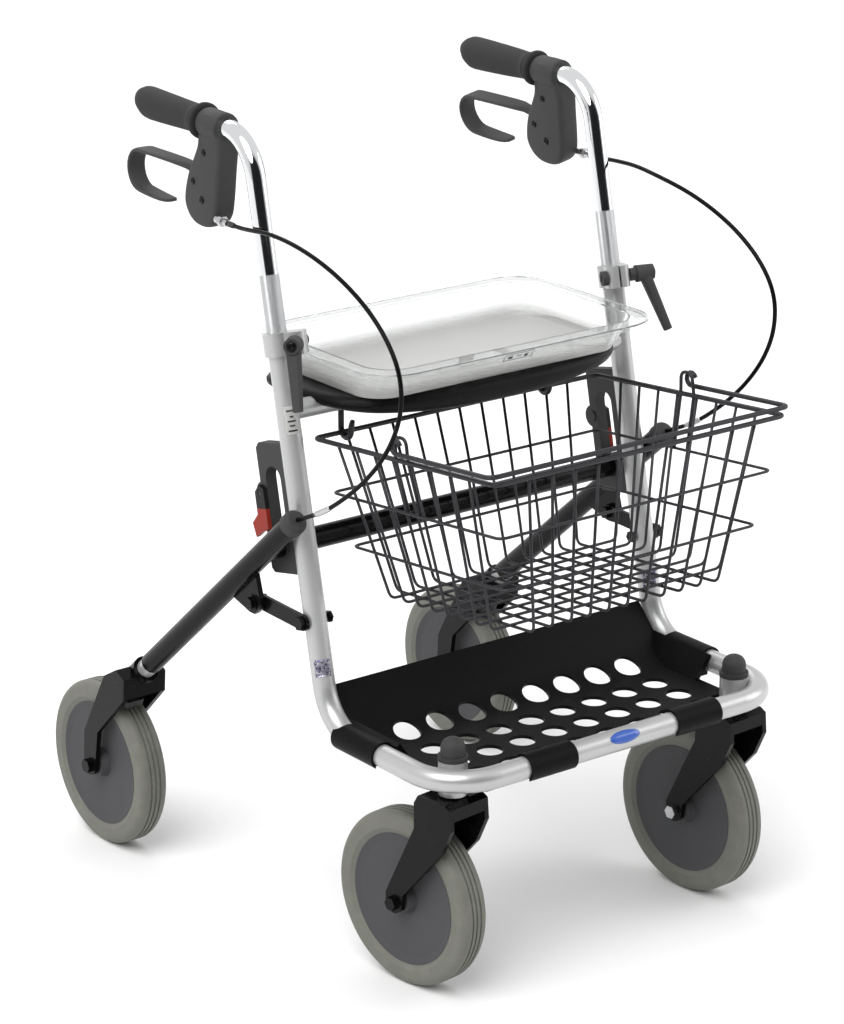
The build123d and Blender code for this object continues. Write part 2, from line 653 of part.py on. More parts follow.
# ---- casters -------------------------------------------------------------------------------------
caster_fork_gap = 5.0
for side, sign in sides:
    inside = tyre_width / 2 + caster_fork_gap
    with BuildPart() as caster_fork:
        for lateral in (-1, 1):
            with BuildSketch(caster_side(side, sign, lateral * inside)):
                with BuildLine():
                    Polyline((-24, sleeve_bottom_z - 6), (-26, sleeve_bottom_z - 30), (-12, sleeve_bottom_z - 60),
                             (caster_trail - 14, wheel_radius + 12), (caster_trail - 12, wheel_radius - 6),
                             (caster_trail + 12, wheel_radius - 6), (caster_trail + 12, wheel_radius + 10),
                             (30, sleeve_bottom_z - 42), (30, sleeve_bottom_z - 12), (24, sleeve_bottom_z - 2),
                             (-16, sleeve_bottom_z - 2), close=True)
                make_face()
                with Locations((caster_trail, wheel_radius)):
                    Circle(12.0)
                    Circle(axle_dia / 2 + running_gap, mode=Mode.SUBTRACT)
            extrude(amount=lateral * fork_arm)
        with BuildSketch(caster_side(side, sign, -inside - fork_arm)):
            with BuildLine():
                Polyline((-24, sleeve_bottom_z - 6), (-25, sleeve_bottom_z - 20), (30, sleeve_bottom_z - 20),
                         (30, sleeve_bottom_z - 12), (24, sleeve_bottom_z - 2), (-16, sleeve_bottom_z - 2),
                         close=True)
            make_face()
        extrude(amount=2 * (inside + fork_arm))
        with BuildSketch(caster_side(side, sign, -inside)):
            with Locations((caster_trail, wheel_radius)):
                Circle(wheel_radius + caster_fork_gap)
        extrude(amount=2 * inside, mode=Mode.SUBTRACT)
        # stem up through the sleeve, with a washer at the sleeve's foot
        with BuildSketch(caster_plane(side, sign, sleeve_bottom_z - 10)):
            Circle(stem_dia / 2)
        extrude(amount=sleeve_top_z + 6 - sleeve_bottom_z + 10)
        with BuildSketch(caster_plane(side, sign, sleeve_bottom_z - 4)):
            Circle(sleeve_dia / 2 - 1)
        extrude(amount=4 - free_gap)
    save(caster_fork, f"caster_fork_{side}")

    with BuildPart() as caster_axle:
        reach = inside + fork_arm
        with BuildSketch(caster_side(side, sign, -reach)):
            with Locations((caster_trail, wheel_radius)):
                Circle(axle_dia / 2)
        extrude(amount=2 * reach)
        for lateral in (-1, 1):
            with BuildSketch(caster_side(side, sign, lateral * reach)):
                with Locations((caster_trail, wheel_radius)):
                    RegularPolygon(8.0, 6)
            extrude(amount=lateral * 6.0)
    save(caster_axle, f"caster_axle_{side}")

    # domed cover on the sleeve, hollow over the stem's end
    with BuildPart() as caster_cap:
        with BuildSketch(Plane.XY.offset(sleeve_top_z)):
            with Locations((sign * caster_x, caster_y)):
                Circle(sleeve_dia / 2 + 0.5)
        extrude(amount=5.0)
        with BuildSketch(Plane.XY.offset(sleeve_top_z + 5)):
            with Locations((sign * caster_x, caster_y)):
                Circle(sleeve_dia / 2 - 2.5)
        extrude(amount=20.0)
        fillet(caster_cap.faces().sort_by(Axis.Z)[-1].edges(), radius=12.0)
        with BuildSketch(Plane.XY.offset(sleeve_top_z)):
            with Locations((sign * caster_x, caster_y)):
                Circle(stem_dia / 2 + 1)
        extrude(amount=8.0, mode=Mode.SUBTRACT)
    save(caster_cap, f"caster_cap_{side}")

# ---- handles -------------------------------------------------------------------------------------
for side, sign in sides:
    handle_start = leg_point(sign * leg_x, 0, handle_foot_up)
    with BuildPart() as handle_tube:
        with BuildLine() as handle_path:
            FilletPolyline(handle_start, handle_corner(sign), handle_section(sign, grip_end - 12).origin,
                           radius=handle_bend_radius)
        handle_wire = handle_path.wire()
        handle_end = Plane(origin=handle_wire @ 0, z_dir=handle_wire % 0)
        with BuildSketch(handle_end):
            Circle(handle_tube_dia / 2)
        sweep(path=handle_wire)
        with BuildSketch(handle_end):
            Circle(handle_tube_dia / 2 - handle_tube_wall)
        sweep(path=handle_wire, mode=Mode.SUBTRACT)
    save(handle_tube, f"handle_tube_{side}")

    with BuildPart() as grip:
        with BuildSketch(handle_side(sign)):
            with BuildLine():
                grip_radius = grip_dia / 2
                Polyline((grip_start, 0), (grip_start, grip_flange_dia / 2 - 2),
                         (grip_start + 2, grip_flange_dia / 2), (grip_start + 5, grip_flange_dia / 2),
                         (grip_start + 9, grip_radius - 1))
                Spline((grip_start + 9, grip_radius - 1), (grip_start + 40, grip_radius + 0.5),
                       (grip_start + 80, grip_radius - 1.5), (grip_end - 22, grip_radius - 0.5),
                       (grip_end - 6, grip_radius - 6))
                Spline((grip_end - 6, grip_radius - 6), (grip_end - 1, grip_radius - 11), (grip_end, 0),
                       tangents=((1, -0.9), (0, -1)))
                Line((grip_end, 0), (grip_start, 0))
            make_face()
        revolve(axis=Axis(handle_section(sign, 0).origin, handle_section(sign, 0).z_dir))
        with BuildSketch(handle_section(sign, grip_start)):
            Circle(handle_tube_dia / 2)
        extrude(amount=grip_end - 12 - grip_start, mode=Mode.SUBTRACT)
    save(grip, f"grip_{side}")

    with BuildPart() as brake_housing:
        with BuildSketch(handle_side(sign)):
            with BuildLine():
                Polyline((52, 12), (91, 12), (91, -24), (108, -46), (121, -80), (122, -95), (114, -110),
                         (98, -118), (76, -117), (62, -106), (54, -84), (48, -50), (44, -26), (47, -8),
                         close=True)
            make_face()
        extrude(amount=housing_thickness / 2, both=True)
        fillet(brake_housing.edges().filter_by(GeomType.LINE).sort_by(Axis.Z)[:6], radius=3.0)
        with BuildSketch(handle_section(sign, 52)):
            Circle(handle_tube_dia / 2 + 5.5)
        extrude(amount=grip_start - 53)
        # bore for the tube, slot for the lever's tongue
        with BuildSketch(handle_section(sign, 30)):
            Circle(handle_tube_dia / 2)
        extrude(amount=80, mode=Mode.SUBTRACT)
        with BuildSketch(handle_side(sign)):
            with BuildLine():
                Polyline((lever_pivot[0] - 14, lever_pivot[1] - 14), (135, lever_pivot[1] - 26),
                         (135, lever_pivot[1] + 34), (lever_pivot[0] - 14, lever_pivot[1] + 14), close=True)
            make_face()
        extrude(amount=lever_tongue / 2 + free_gap, both=True, mode=Mode.SUBTRACT)
        with BuildSketch(adjuster_section(side, sign)):
            Circle(4.0)
        extrude(amount=24.0, mode=Mode.SUBTRACT)
        # pin for the lever and two screw heads on the outer face
        with BuildSketch(handle_side(sign, -housing_thickness / 2 - 1)):
            with Locations(lever_pivot):
                Circle(lever_pin_dia / 2)
        extrude(amount=housing_thickness + 2)
        for place in (lever_pivot, (82.0, -84.0), (76.0, -30.0)):
            with BuildSketch(handle_side(sign, sign * housing_thickness / 2)):
                with Locations(place):
                    Circle(4.5)
            extrude(amount=sign * 1.5)
    save(brake_housing, f"brake_housing_{side}")

    with BuildPart() as brake_lever:
        with BuildSketch(handle_side(sign)):
            with BuildLine() as strip_line:
                strip_top = Line((125, -55), (226, -56))
                strip_hook = ThreePointArc(strip_top @ 1, (249, -79), (226, -102))
                Polyline(strip_hook @ 1, (198, -104), (168, -104))
            trace(line_width=lever_strip)
        extrude(amount=lever_width / 2, both=True)
        # tongue from the strip to the pin
        with BuildSketch(handle_side(sign)):
            with BuildLine():
                Polyline((lever_pivot[0] - 2, lever_pivot[1] + 6), (126, -52.6), (126, -57.4),
                         (lever_pivot[0] + 4, lever_pivot[1] - 6), close=True)
            make_face()
            with Locations(lever_pivot):
                Circle(8.0)
                Circle(lever_pin_dia / 2 + running_gap, mode=Mode.SUBTRACT)
        extrude(amount=lever_tongue / 2, both=True)
        with BuildSketch(handle_side(sign, -lever_width)):
            with Locations(lever_pivot):
                Circle(lever_pin_dia / 2 + running_gap)
        extrude(amount=2 * lever_width, mode=Mode.SUBTRACT)
    save(brake_lever, f"brake_lever_{side}")

    # threaded adjuster where the cable leaves the housing
    with BuildPart() as cable_adjuster:
        adjuster_plane = adjuster_section(side, sign)
        with BuildSketch(adjuster_plane):
            Circle(4.0)
        extrude(amount=24.0)
        with BuildSketch(adjuster_plane.offset(9.0)):
            RegularPolygon(6.5, 6)
        extrude(amount=6.0)
    save(cable_adjuster, f"cable_adjuster_{side}")

    # brake cable in its sheath, from the adjuster to the rear leg's end cap
    route = [(sign * x, y, z) for x, y, z in cable_lead[side] + cable_run]
    runs = [Vector(*b) - Vector(*a) for a, b in zip(route, route[1:])]
    turns = [a.get_angle(b) for a, b in zip(runs, runs[1:])]
    cable_radii = [0.45 * min(a.length, b.length) / tan(radians(turn / 2))
                   for a, b, turn in zip(runs, runs[1:], turns)]
    with BuildPart() as brake_cable:
        with BuildLine() as cable_path:
            FilletPolyline(*route, radius=cable_radii)
        cable_wire = cable_path.wire()
        with BuildSketch(Plane(origin=cable_wire @ 0, z_dir=cable_wire % 0)):
            Circle(cable_dia / 2)
        sweep(path=cable_wire)
    save(brake_cable, f"brake_cable_{side}")
    if sign > 0:
        print("cable radii", [round(r) for r in cable_radii], "turns", [round(t) for t in turns])
        print("cable length", round(cable_wire.length, 1), "volume", round(brake_cable.part.volume),
              "section x length", round(cable_wire.length * 3.14159 * cable_dia ** 2 / 4))

# ---- seat ----------------------------------------------------------------------------------------
crosstube_y, crosstube_z = leg_point(0, 0, crosstube_up)[1:]
with BuildPart() as seat:
    with BuildSketch(Plane.XZ.offset(-seat_back_y)):
        with BuildLine():
            Polyline((-seat_half_width, seat_bottom_z + 14), (-seat_half_width, seat_top_z),
                     (seat_half_width, seat_top_z), (seat_half_width, seat_bottom_z + 14))
            Polyline((seat_half_width, seat_bottom_z + 14), (130, seat_bottom_z), (-130, seat_bottom_z),
                     (-seat_half_width, seat_bottom_z + 14))
        make_face()
    extrude(amount=seat_back_y - seat_front_y + 30)
    with BuildSketch(Plane.XY.offset(seat_bottom_z - 10)):
        with BuildLine():
            Polyline((-130, seat_front_y - 4), (-seat_half_width + 22, seat_front_y + 22),
                     (-seat_half_width, seat_front_y + 70), (-seat_half_width, seat_back_y - 32),
                     (-seat_half_width + 22, seat_back_y - 8), (-seat_half_width + 50, seat_back_y),
                     (seat_half_width - 50, seat_back_y), (seat_half_width - 22, seat_back_y - 8),
                     (seat_half_width, seat_back_y - 32), (seat_half_width, seat_front_y + 70),
                     (seat_half_width - 22, seat_front_y + 22), (130, seat_front_y - 4))
            ThreePointArc((130, seat_front_y - 4), (0, seat_front_y - 18), (-130, seat_front_y - 4))
        make_face()
    extrude(amount=80, mode=Mode.INTERSECT)
    fillet(seat.edges().group_by(Axis.Z)[-1], radius=9.0)
    with BuildSketch(Plane.YZ.offset(-leg_x)):
        with Locations((crosstube_y, crosstube_z)):
            Circle(crosstube_dia / 2)
        with Locations((crosstube_y, crosstube_z - crosstube_dia)):
            Rectangle(crosstube_dia, 2 * crosstube_dia)
    extrude(amount=2 * leg_x, mode=Mode.SUBTRACT)
save(seat, "seat")

# ---- basket hooks --------------------------------------------------------------------------------
rim_radius = basket_rim_wire / 2
hook_radius = rim_radius * 1.42 + free_gap   # the rim wire is square in section
hook_stem_y = basket_back_y + hook_radius + hook_strap / 2
hook_tip_y = basket_back_y - hook_radius - hook_strap / 2
hook_bar_z = crosstube_z - crosstube_dia / 2 - seat_strap_thickness - 1.0
with BuildPart() as basket_hooks:
    for hook_x in hook_places:
        with BuildSketch(Plane.YZ.offset(hook_x - hook_width / 2)):
            with BuildLine() as hook_line:
                stem = Line((hook_stem_y, crosstube_z - 2), (hook_stem_y, basket_back_z))
                bend = ThreePointArc(stem @ 1, (basket_back_y, basket_back_z - hook_radius - hook_strap / 2),
                                     (hook_tip_y, basket_back_z))
                Line(bend @ 1, (hook_tip_y - 2, basket_back_z + 10))
            trace(line_width=hook_strap)
        extrude(amount=hook_width)
    # bar that joins the two hooks under the seat
    with BuildSketch(Plane.XY.offset(hook_bar_z)):
        with Locations((sum(hook_places) / 2, hook_stem_y)):
            Rectangle(hook_places[1] - hook_places[0], hook_strap)
    extrude(amount=-8.0)
    with BuildSketch(Plane.YZ.offset(-leg_x)):
        with Locations((crosstube_y, crosstube_z)):
            Circle(crosstube_dia / 2)
    extrude(amount=2 * leg_x, mode=Mode.SUBTRACT)
save(basket_hooks, "basket_hooks")

# ---- foot shelf ----------------------------------------------------------------------------------
shelf_front_y = front_rail_y + frame_radius + 1.5
with BuildPart() as foot_shelf:
    with BuildSketch(Plane.YZ.offset(-shelf_half_width)):
        with BuildLine() as shelf_line:
            FilletPolyline((shelf_front_y - 9.5, shelf_floor_z), (shelf_back_y - 54, shelf_floor_z),
                           (shelf_back_y, shelf_back_z), radius=shelf_bend_radius)
        trace(line_width=shelf_thickness)
    extrude(amount=2 * shelf_half_width)
    # flanks that rise from the floor to the side rails, and the back wall's ends beside the legs
    for sign in (-1, 1):
        with BuildSketch(Plane.XZ.offset(240.0)):
            with BuildLine():
                Polyline((sign * 200, shelf_floor_z), (sign * 206, shelf_floor_z - 2),
                         (sign * 226, rail_z + 12), (sign * 221, rail_z + 15), close=True)
            make_face()
        extrude(amount=-112.0)
        with BuildSketch(Plane.YZ.offset(sign * (shelf_half_width - 2))):
            with BuildLine():
                FilletPolyline((shelf_back_y - 70, shelf_floor_z), (shelf_back_y - 54, shelf_floor_z),
                               (shelf_back_y, shelf_back_z), radius=12.0)
            trace(line_width=shelf_thickness)
        extrude(amount=sign * 16.0)
    # webs and shells that clip on the side rails and the front rail
    clip_radius = frame_radius + 3.0
    clip_length = 74.0
    clip_y = -190.5
    for sign in (-1, 1):
        with BuildSketch(Plane.XZ.offset(-clip_y - clip_length / 2)):
            with Locations((sign * leg_x, rail_z)):
                Circle(clip_radius)
            with Locations((sign * (shelf_half_width + leg_x) / 2, shelf_floor_z)):
                Rectangle(leg_x - shelf_half_width + 4, shelf_thickness)
        extrude(amount=clip_length)
        with BuildSketch(Plane.YZ.offset(sign * 103.5 - 31.5)):
            with Locations((front_rail_y, rail_z)):
                Circle(clip_radius)
        extrude(amount=63.0)
    with BuildSketch(frame_start):
        Circle(frame_radius)
    sweep(path=frame_wire, mode=Mode.SUBTRACT)
    for sign in (-1, 1):
        with BuildSketch(Plane.XZ.offset(-clip_y - clip_length / 2)):
            with Locations((sign * (leg_x + 3), rail_z - clip_radius)):
                Rectangle(12, 12)
        extrude(amount=clip_length, mode=Mode.SUBTRACT)
        with BuildSketch(Plane.YZ.offset(sign * 103.5 - 31.5)):
            with Locations((front_rail_y - 3, rail_z - clip_radius)):
                Rectangle(12, 12)
        extrude(amount=63.0, mode=Mode.SUBTRACT)
    # corners cut away round the caster sleeves
    sleeve_room = sleeve_dia / 2 + 2.0
    notch_back = caster_y + sleeve_room
    notch_inside = caster_x - sleeve_room
    for sign in (-1, 1):
        with BuildSketch(Plane.XY.offset(shelf_floor_z - 10)):
            with Locations((sign * (notch_inside + leg_x) / 2, (notch_back + front_rail_y) / 2)):
                Rectangle(leg_x - notch_inside, notch_back - front_rail_y)
        extrude(amount=20, mode=Mode.SUBTRACT)
    # rows of round holes in the floor, and a row of larger ones in the bend
    hole_rows = 3
    first_row_y = -301.0
    with BuildSketch(Plane.XY.offset(shelf_floor_z - 10)):
        with Locations((0, first_row_y + shelf_hole_pitch_y)):
            with GridLocations(shelf_hole_pitch_x, shelf_hole_pitch_y, 8, hole_rows):
                Circle(shelf_hole_dia / 2)
    extrude(amount=14, mode=Mode.SUBTRACT)
    bend_dir = Vector(0, -sin(radians(23.6)), cos(radians(23.6)))
    bend_plane = Plane(origin=(0, -170.0, shelf_floor_z + 5), x_dir=(1, 0, 0), z_dir=bend_dir)
    with BuildSketch(bend_plane.offset(-15)):
        with GridLocations(shelf_hole_pitch_x, 1, 8, 1):
            Circle(shelf_hole_dia / 2 + 1)
    extrude(amount=25, mode=Mode.SUBTRACT)
save(foot_shelf, "foot_shelf")

# ---- tray ----------------------------------------------------------------------------------------
tray_mid_y = (tray_front_y + tray_back_y) / 2
tray_long = tray_back_y - tray_front_y
tray_wide = 2 * tray_half_width
tray_floor_z = seat_top_z + free_gap
tray_floor_long = 178.0
tray_floor_wide = 352.0
with BuildPart() as tray:
    mouth = Plane.XY.offset(tray_rim_z)
    floor = Plane.XY.offset(tray_floor_z)
    with BuildSketch(floor):
        with Locations((0, tray_mid_y + 6)):
            RectangleRounded(tray_floor_wide, tray_floor_long, 34)
    with BuildSketch(mouth):
        with Locations((0, tray_mid_y)):
            RectangleRounded(tray_wide - 2 * tray_rim_width, tray_long - 2 * tray_rim_width, 40)
    loft()
    with BuildSketch(Plane.XY.offset(tray_rim_z - tray_wall)):
        with Locations((0, tray_mid_y)):
            RectangleRounded(tray_wide, tray_long, 50)
    extrude(amount=tray_wall)
    with BuildSketch(Plane.XY.offset(tray_rim_z - tray_wall - 3)):
        with Locations((0, tray_mid_y)):
            RectangleRounded(tray_wide, tray_long, 50)
            RectangleRounded(tray_wide - 2 * tray_wall, tray_long - 2 * tray_wall, 50 - tray_wall,
                             mode=Mode.SUBTRACT)
    extrude(amount=tray_wall + 3)
    with BuildSketch(floor.offset(tray_wall)):
        with Locations((0, tray_mid_y + 6)):
            RectangleRounded(tray_floor_wide - 2 * tray_wall, tray_floor_long - 2 * tray_wall, 34 - tray_wall)
    with BuildSketch(mouth):
        with Locations((0, tray_mid_y)):
            RectangleRounded(tray_wide - 2 * tray_rim_width - 2 * tray_wall,
                             tray_long - 2 * tray_rim_width - 2 * tray_wall, 40 - tray_wall)
    loft(mode=Mode.SUBTRACT)
save(tray, "tray")

# ---- basket --------------------------------------------------------------------------------------
tilt = radians(basket_tilt)
basket_mid_y = basket_back_y - basket_rim[1] / 2 * cos(tilt)
basket_mid_z = basket_back_z + basket_rim[1] / 2 * sin(tilt)
rim_plane = Plane(origin=(0, basket_mid_y, basket_mid_z), x_dir=(1, 0, 0), z_dir=(0, sin(tilt), cos(tilt)))
row_height = basket_depth / 3
with BuildPart() as basket:
    with BuildSketch(rim_plane.offset(-basket_depth)):
        RectangleRounded(basket_floor[0] + basket_wire, basket_floor[1] + basket_wire, 9)
    with BuildSketch(rim_plane):
        RectangleRounded(basket_rim[0] + basket_wire, basket_rim[1] + basket_wire, 12)
    loft()
    with BuildSketch(rim_plane.offset(-basket_depth + basket_wire)):
        RectangleRounded(basket_floor[0] - basket_wire, basket_floor[1] - basket_wire, 9 - basket_wire)
    with BuildSketch(rim_plane):
        RectangleRounded(basket_rim[0] - basket_wire, basket_rim[1] - basket_wire, 12 - basket_wire)
    loft(mode=Mode.SUBTRACT)
    # openings between the wires: front and back walls, side walls, floor
    for row in range(3):
        middle = -row_height * (row + 0.5)
        share = 1 + middle / basket_depth * (1 - basket_floor[0] / basket_rim[0])
        side_share = 1 + middle / basket_depth * (1 - basket_floor[1] / basket_rim[1])
        opening = row_height - basket_wire
        column = basket_rim[0] * share / basket_columns
        side_column = basket_rim[1] * side_share / basket_side_columns
        wall_plane = Plane(origin=rim_plane.origin + rim_plane.z_dir * middle, x_dir=(1, 0, 0),
                           z_dir=rim_plane.y_dir)
        with BuildSketch(wall_plane):
            with GridLocations(column, 1, basket_columns - 1, 1):
                Rectangle(column - basket_wire, opening)
        extrude(amount=basket_rim[1], both=True, mode=Mode.SUBTRACT)
        side_plane = Plane(origin=rim_plane.origin + rim_plane.z_dir * middle, x_dir=rim_plane.y_dir,
                           z_dir=(1, 0, 0))
        with BuildSketch(side_plane):
            with GridLocations(side_column, 1, basket_side_columns - 1, 1):
                Rectangle(side_column - basket_wire, opening)
        extrude(amount=basket_rim[0], both=True, mode=Mode.SUBTRACT)
    mesh_x = (basket_floor[0] - 2 * basket_wire) / basket_columns
    mesh_y = (basket_floor[1] - 2 * basket_wire) / basket_side_columns
    with BuildSketch(rim_plane.offset(-basket_depth - 5)):
        with GridLocations(mesh_x, mesh_y, basket_columns, basket_side_columns):
            Rectangle(mesh_x - basket_wire, mesh_y - basket_wire)
    extrude(amount=15, mode=Mode.SUBTRACT)
    # thicker rim wire
    with BuildSketch(rim_plane):
        RectangleRounded(basket_rim[0] + basket_rim_wire, basket_rim[1] + basket_rim_wire, 13)
        RectangleRounded(basket_rim[0] - basket_rim_wire, basket_rim[1] - basket_rim_wire, 8,
                         mode=Mode.SUBTRACT)
    extrude(amount=basket_rim_wire / 2, both=True)
    # an ear on the middle of each side, which carries the bail
    ear_height = 17.0
    for sign in (-1, 1):
        ear_plane = Plane(origin=rim_plane.origin + Vector(sign * basket_rim[0] / 2, 0, 0),
                          x_dir=rim_plane.y_dir, z_dir=(1, 0, 0))
        with BuildSketch(ear_plane):
            with Locations((0, ear_height / 2)):
                SlotCenterToCenter(ear_height, 22, rotation=90)
                SlotCenterToCenter(ear_height, 12, rotation=90, mode=Mode.SUBTRACT)
            with Locations((0, -6.0)):
                Rectangle(24, 12, mode=Mode.SUBTRACT)
        extrude(amount=basket_wire / 2, both=True)
save(basket, "basket")

bail_side = basket_rim[0] / 2 + basket_rim_wire / 2 + bail_dia / 2 + 1.0
bail_height = basket_rim_wire / 2 + bail_dia / 2 + 3.0
bail_reach = basket_rim[1] / 2
with BuildPart() as basket_bail:
    bail_plane = rim_plane.offset(bail_height)
    with BuildLine(bail_plane) as bail_path:
        FilletPolyline((-bail_side + 10, 0), (-bail_side, 0), (-bail_side, -bail_reach),
                       (bail_side, -bail_reach), (bail_side, 0), (bail_side - 10, 0),
                       radius=[4.0, 11.0, 11.0, 4.0])
    bail_wire = bail_path.wire()
    with BuildSketch(Plane(origin=bail_wire @ 0, z_dir=bail_wire % 0)):
        Circle(bail_dia / 2)
    sweep(path=bail_wire)
save(basket_bail, "basket_bail")
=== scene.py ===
"""Four-wheel walking frame with a seat, a clear tray, a wire basket and a foot shelf.

The looks are built around the packed part. Each operator makes one group of pieces, and the
property groups hold the sizes and colours that a maker would change.
"""
from math import cos, pi, radians, sin, sqrt

import bmesh
import bpy
from bpy.props import FloatProperty, FloatVectorProperty, IntProperty, PointerProperty
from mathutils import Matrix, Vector


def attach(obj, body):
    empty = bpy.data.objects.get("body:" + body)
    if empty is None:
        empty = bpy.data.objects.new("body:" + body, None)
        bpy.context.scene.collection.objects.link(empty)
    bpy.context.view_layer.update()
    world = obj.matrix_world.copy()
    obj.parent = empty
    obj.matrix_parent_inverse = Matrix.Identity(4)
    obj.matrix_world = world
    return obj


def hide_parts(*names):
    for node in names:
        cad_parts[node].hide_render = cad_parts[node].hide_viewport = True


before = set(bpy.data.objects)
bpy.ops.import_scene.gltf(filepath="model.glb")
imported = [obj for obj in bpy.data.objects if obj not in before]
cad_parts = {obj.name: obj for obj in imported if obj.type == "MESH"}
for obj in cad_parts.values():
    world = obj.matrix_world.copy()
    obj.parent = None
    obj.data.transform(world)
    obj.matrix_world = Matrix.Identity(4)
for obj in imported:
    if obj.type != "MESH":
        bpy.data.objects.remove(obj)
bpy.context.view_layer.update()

bl_info = {
    "name": "Walking Frame",
    "version": (1, 0, 0),
    "blender": (4, 5, 0),
    "location": "View3D > Sidebar > Walking Frame",
    "description": "Builds the finished look of a four-wheel walking frame around its CAD part",
    "category": "Add Mesh",
}

SIDES = (("right", -1), ("left", 1))

# ---- places that repeat the part's layout, in metres ----------------------------------------------
LEG_X = 0.235
LEG_RADIUS = 0.0127
LEG_LEAN = radians(12.0)
LEG_FOOT = (-0.131, 0.265)
HANDLE_TOE = {-1: radians(3.1), 1: radians(-0.4)}
BRAKE_TURN = {-1: 0.0, 1: radians(12.0)}
HANDLE_Z = 0.902
LEVER_PIVOT = (0.100, -0.066)
CLAMP_UP = 0.4275      # clamp lever, up the leg
KNURL_TOP = 0.503      # upper end of the knurling, up the leg
LATCH_SPLIT = 0.2455   # where a latch changes colour, up the leg
BASKET_TILT = radians(5.25)
BASKET_BACK = (-0.0574, 0.5736)
HOOK_PLACES = (-0.158, 0.122)
CLAMP_TURN = {"right": radians(45.0), "left": radians(22.0)}


def leg_point(x, back, up):
    """A point given by its distance behind a leg's axis and its distance up the leg."""
    c, s = cos(LEG_LEAN), sin(LEG_LEAN)
    return Vector((x, LEG_FOOT[0] + back * c + up * s, LEG_FOOT[1] - back * s + up * c))


def handle_point(sign, along, up, across=0.0):
    """A point beside a grip: along it from the bend's corner, up the brake, and across it to the left."""
    toe, turn = HANDLE_TOE[sign], BRAKE_TURN[sign]
    corner = leg_point(sign * LEG_X, 0, (HANDLE_Z - LEG_FOOT[1]) / cos(LEG_LEAN))
    rear = Vector((-sign * sin(toe), cos(toe), 0))
    side = Vector((cos(toe) * cos(turn), sign * sin(toe) * cos(turn), sign * sin(turn)))
    return corner + rear * along + side * across + side.cross(rear) * up


# ---- sizes and colours -----------------------------------------------------------------------------
def colour_property(name, description, default):
    """A colour that can be picked in the panel."""
    return FloatVectorProperty(name=name, description=description, default=default, size=3,
                               min=0.0, max=1.0, subtype="COLOR")


def length_property(name, description, default):
    """A length in metres that can be set in the panel."""
    return FloatProperty(name=name, description=description, default=default, min=0.0005,
                         max=5.0, subtype="DISTANCE", unit="LENGTH", precision=4)


class StageSettings(bpy.types.PropertyGroup):
    """Floor, lights and camera."""
    floor_colour: colour_property("Floor", "Colour of the studio floor", (0.86, 0.86, 0.86))
    floor_size: FloatProperty(name="Floor size", description="Width of the studio floor",
                              default=60.0, min=5.0, max=200.0, subtype="DISTANCE", unit="LENGTH")
    sky_strength: FloatProperty(name="Sky", description="Strength of the light from all round",
                                default=0.86, min=0.0, max=5.0)
    key_power: FloatProperty(name="Key light", description="Strength of the large soft key light",
                             default=2.3, min=0.0, max=20.0)
    fill_power: FloatProperty(name="Fill light", description="Power of the fill light",
                              default=26.0, min=0.0, max=2000.0, subtype="POWER", unit="POWER")
    lens: FloatProperty(name="Lens", description="Focal length of the camera",
                        default=124.17, min=10.0, max=400.0, subtype="DISTANCE_CAMERA")


class FinishSettings(bpy.types.PropertyGroup):
    """Colours of the paints, plastics and rubbers."""
    silver: colour_property("Silver paint", "Front frame, collars and lower rear legs", (0.50, 0.505, 0.50))
    chrome: colour_property("Chrome", "Telescoping handle tubes", (0.80, 0.81, 0.82))
    steel: colour_property("Zinc", "Screws, adjusters and ferrules", (0.62, 0.62, 0.63))
    black_paint: colour_property("Black paint", "Rear frame, forks and links", (0.0030, 0.0030, 0.0033))
    black_plastic: colour_property("Black plastic", "Shelf, housings and levers", (0.0040, 0.0040, 0.0043))
    seat_skin: colour_property("Seat skin", "Moulded skin of the seat", (0.0040, 0.0040, 0.0042))
    rubber: colour_property("Grip rubber", "Hand grips", (0.0045, 0.0045, 0.0048))
    red: colour_property("Latch red", "Folding latches", (0.30, 0.022, 0.010))
    tyre: colour_property("Tyre", "Solid tyres", (0.150, 0.152, 0.128))
    hub: colour_property("Hub", "Dished wheel hubs", (0.0070, 0.0070, 0.0074))
    badge: colour_property("Badge", "Plain oval badge on the front rail", (0.02, 0.09, 0.42))


class BasketSettings(bpy.types.PropertyGroup):
    """Wire basket and its carrying bail."""
    rim_width: length_property("Rim width", "Width over the rim wire's middle", 0.400)
    rim_length: length_property("Rim length", "Front to back over the rim wire's middle", 0.319)
    floor_width: length_property("Floor width", "Width of the floor", 0.322)
    floor_length: length_property("Floor length", "Front to back of the floor", 0.240)
    depth: length_property("Depth", "Rim to floor", 0.180)
    wire: length_property("Wire", "Diameter of the upright and ring wires", 0.0034)
    rim_wire: length_property("Rim wire", "Diameter of the rim wire", 0.0056)
    columns: IntProperty(name="Columns", description="Spaces between wires on the long sides",
                         default=12, min=3, max=40)
    side_columns: IntProperty(name="Side columns", description="Spaces between wires on the short sides",
                              default=9, min=3, max=40)


class TrimSettings(bpy.types.PropertyGroup):
    """Cables, seat and small trim."""
    cable: length_property("Cable", "Diameter of the brake cable's sheath", 0.005)
    ferrule: length_property("Ferrule", "Diameter of the ferrule on the cable's end", 0.0066)
    seat_roll: length_property("Seat roll", "Radius of the seat's rolled edge", 0.011)
    reflector: length_property("Reflector", "Height of the reflective patches on the legs", 0.019)


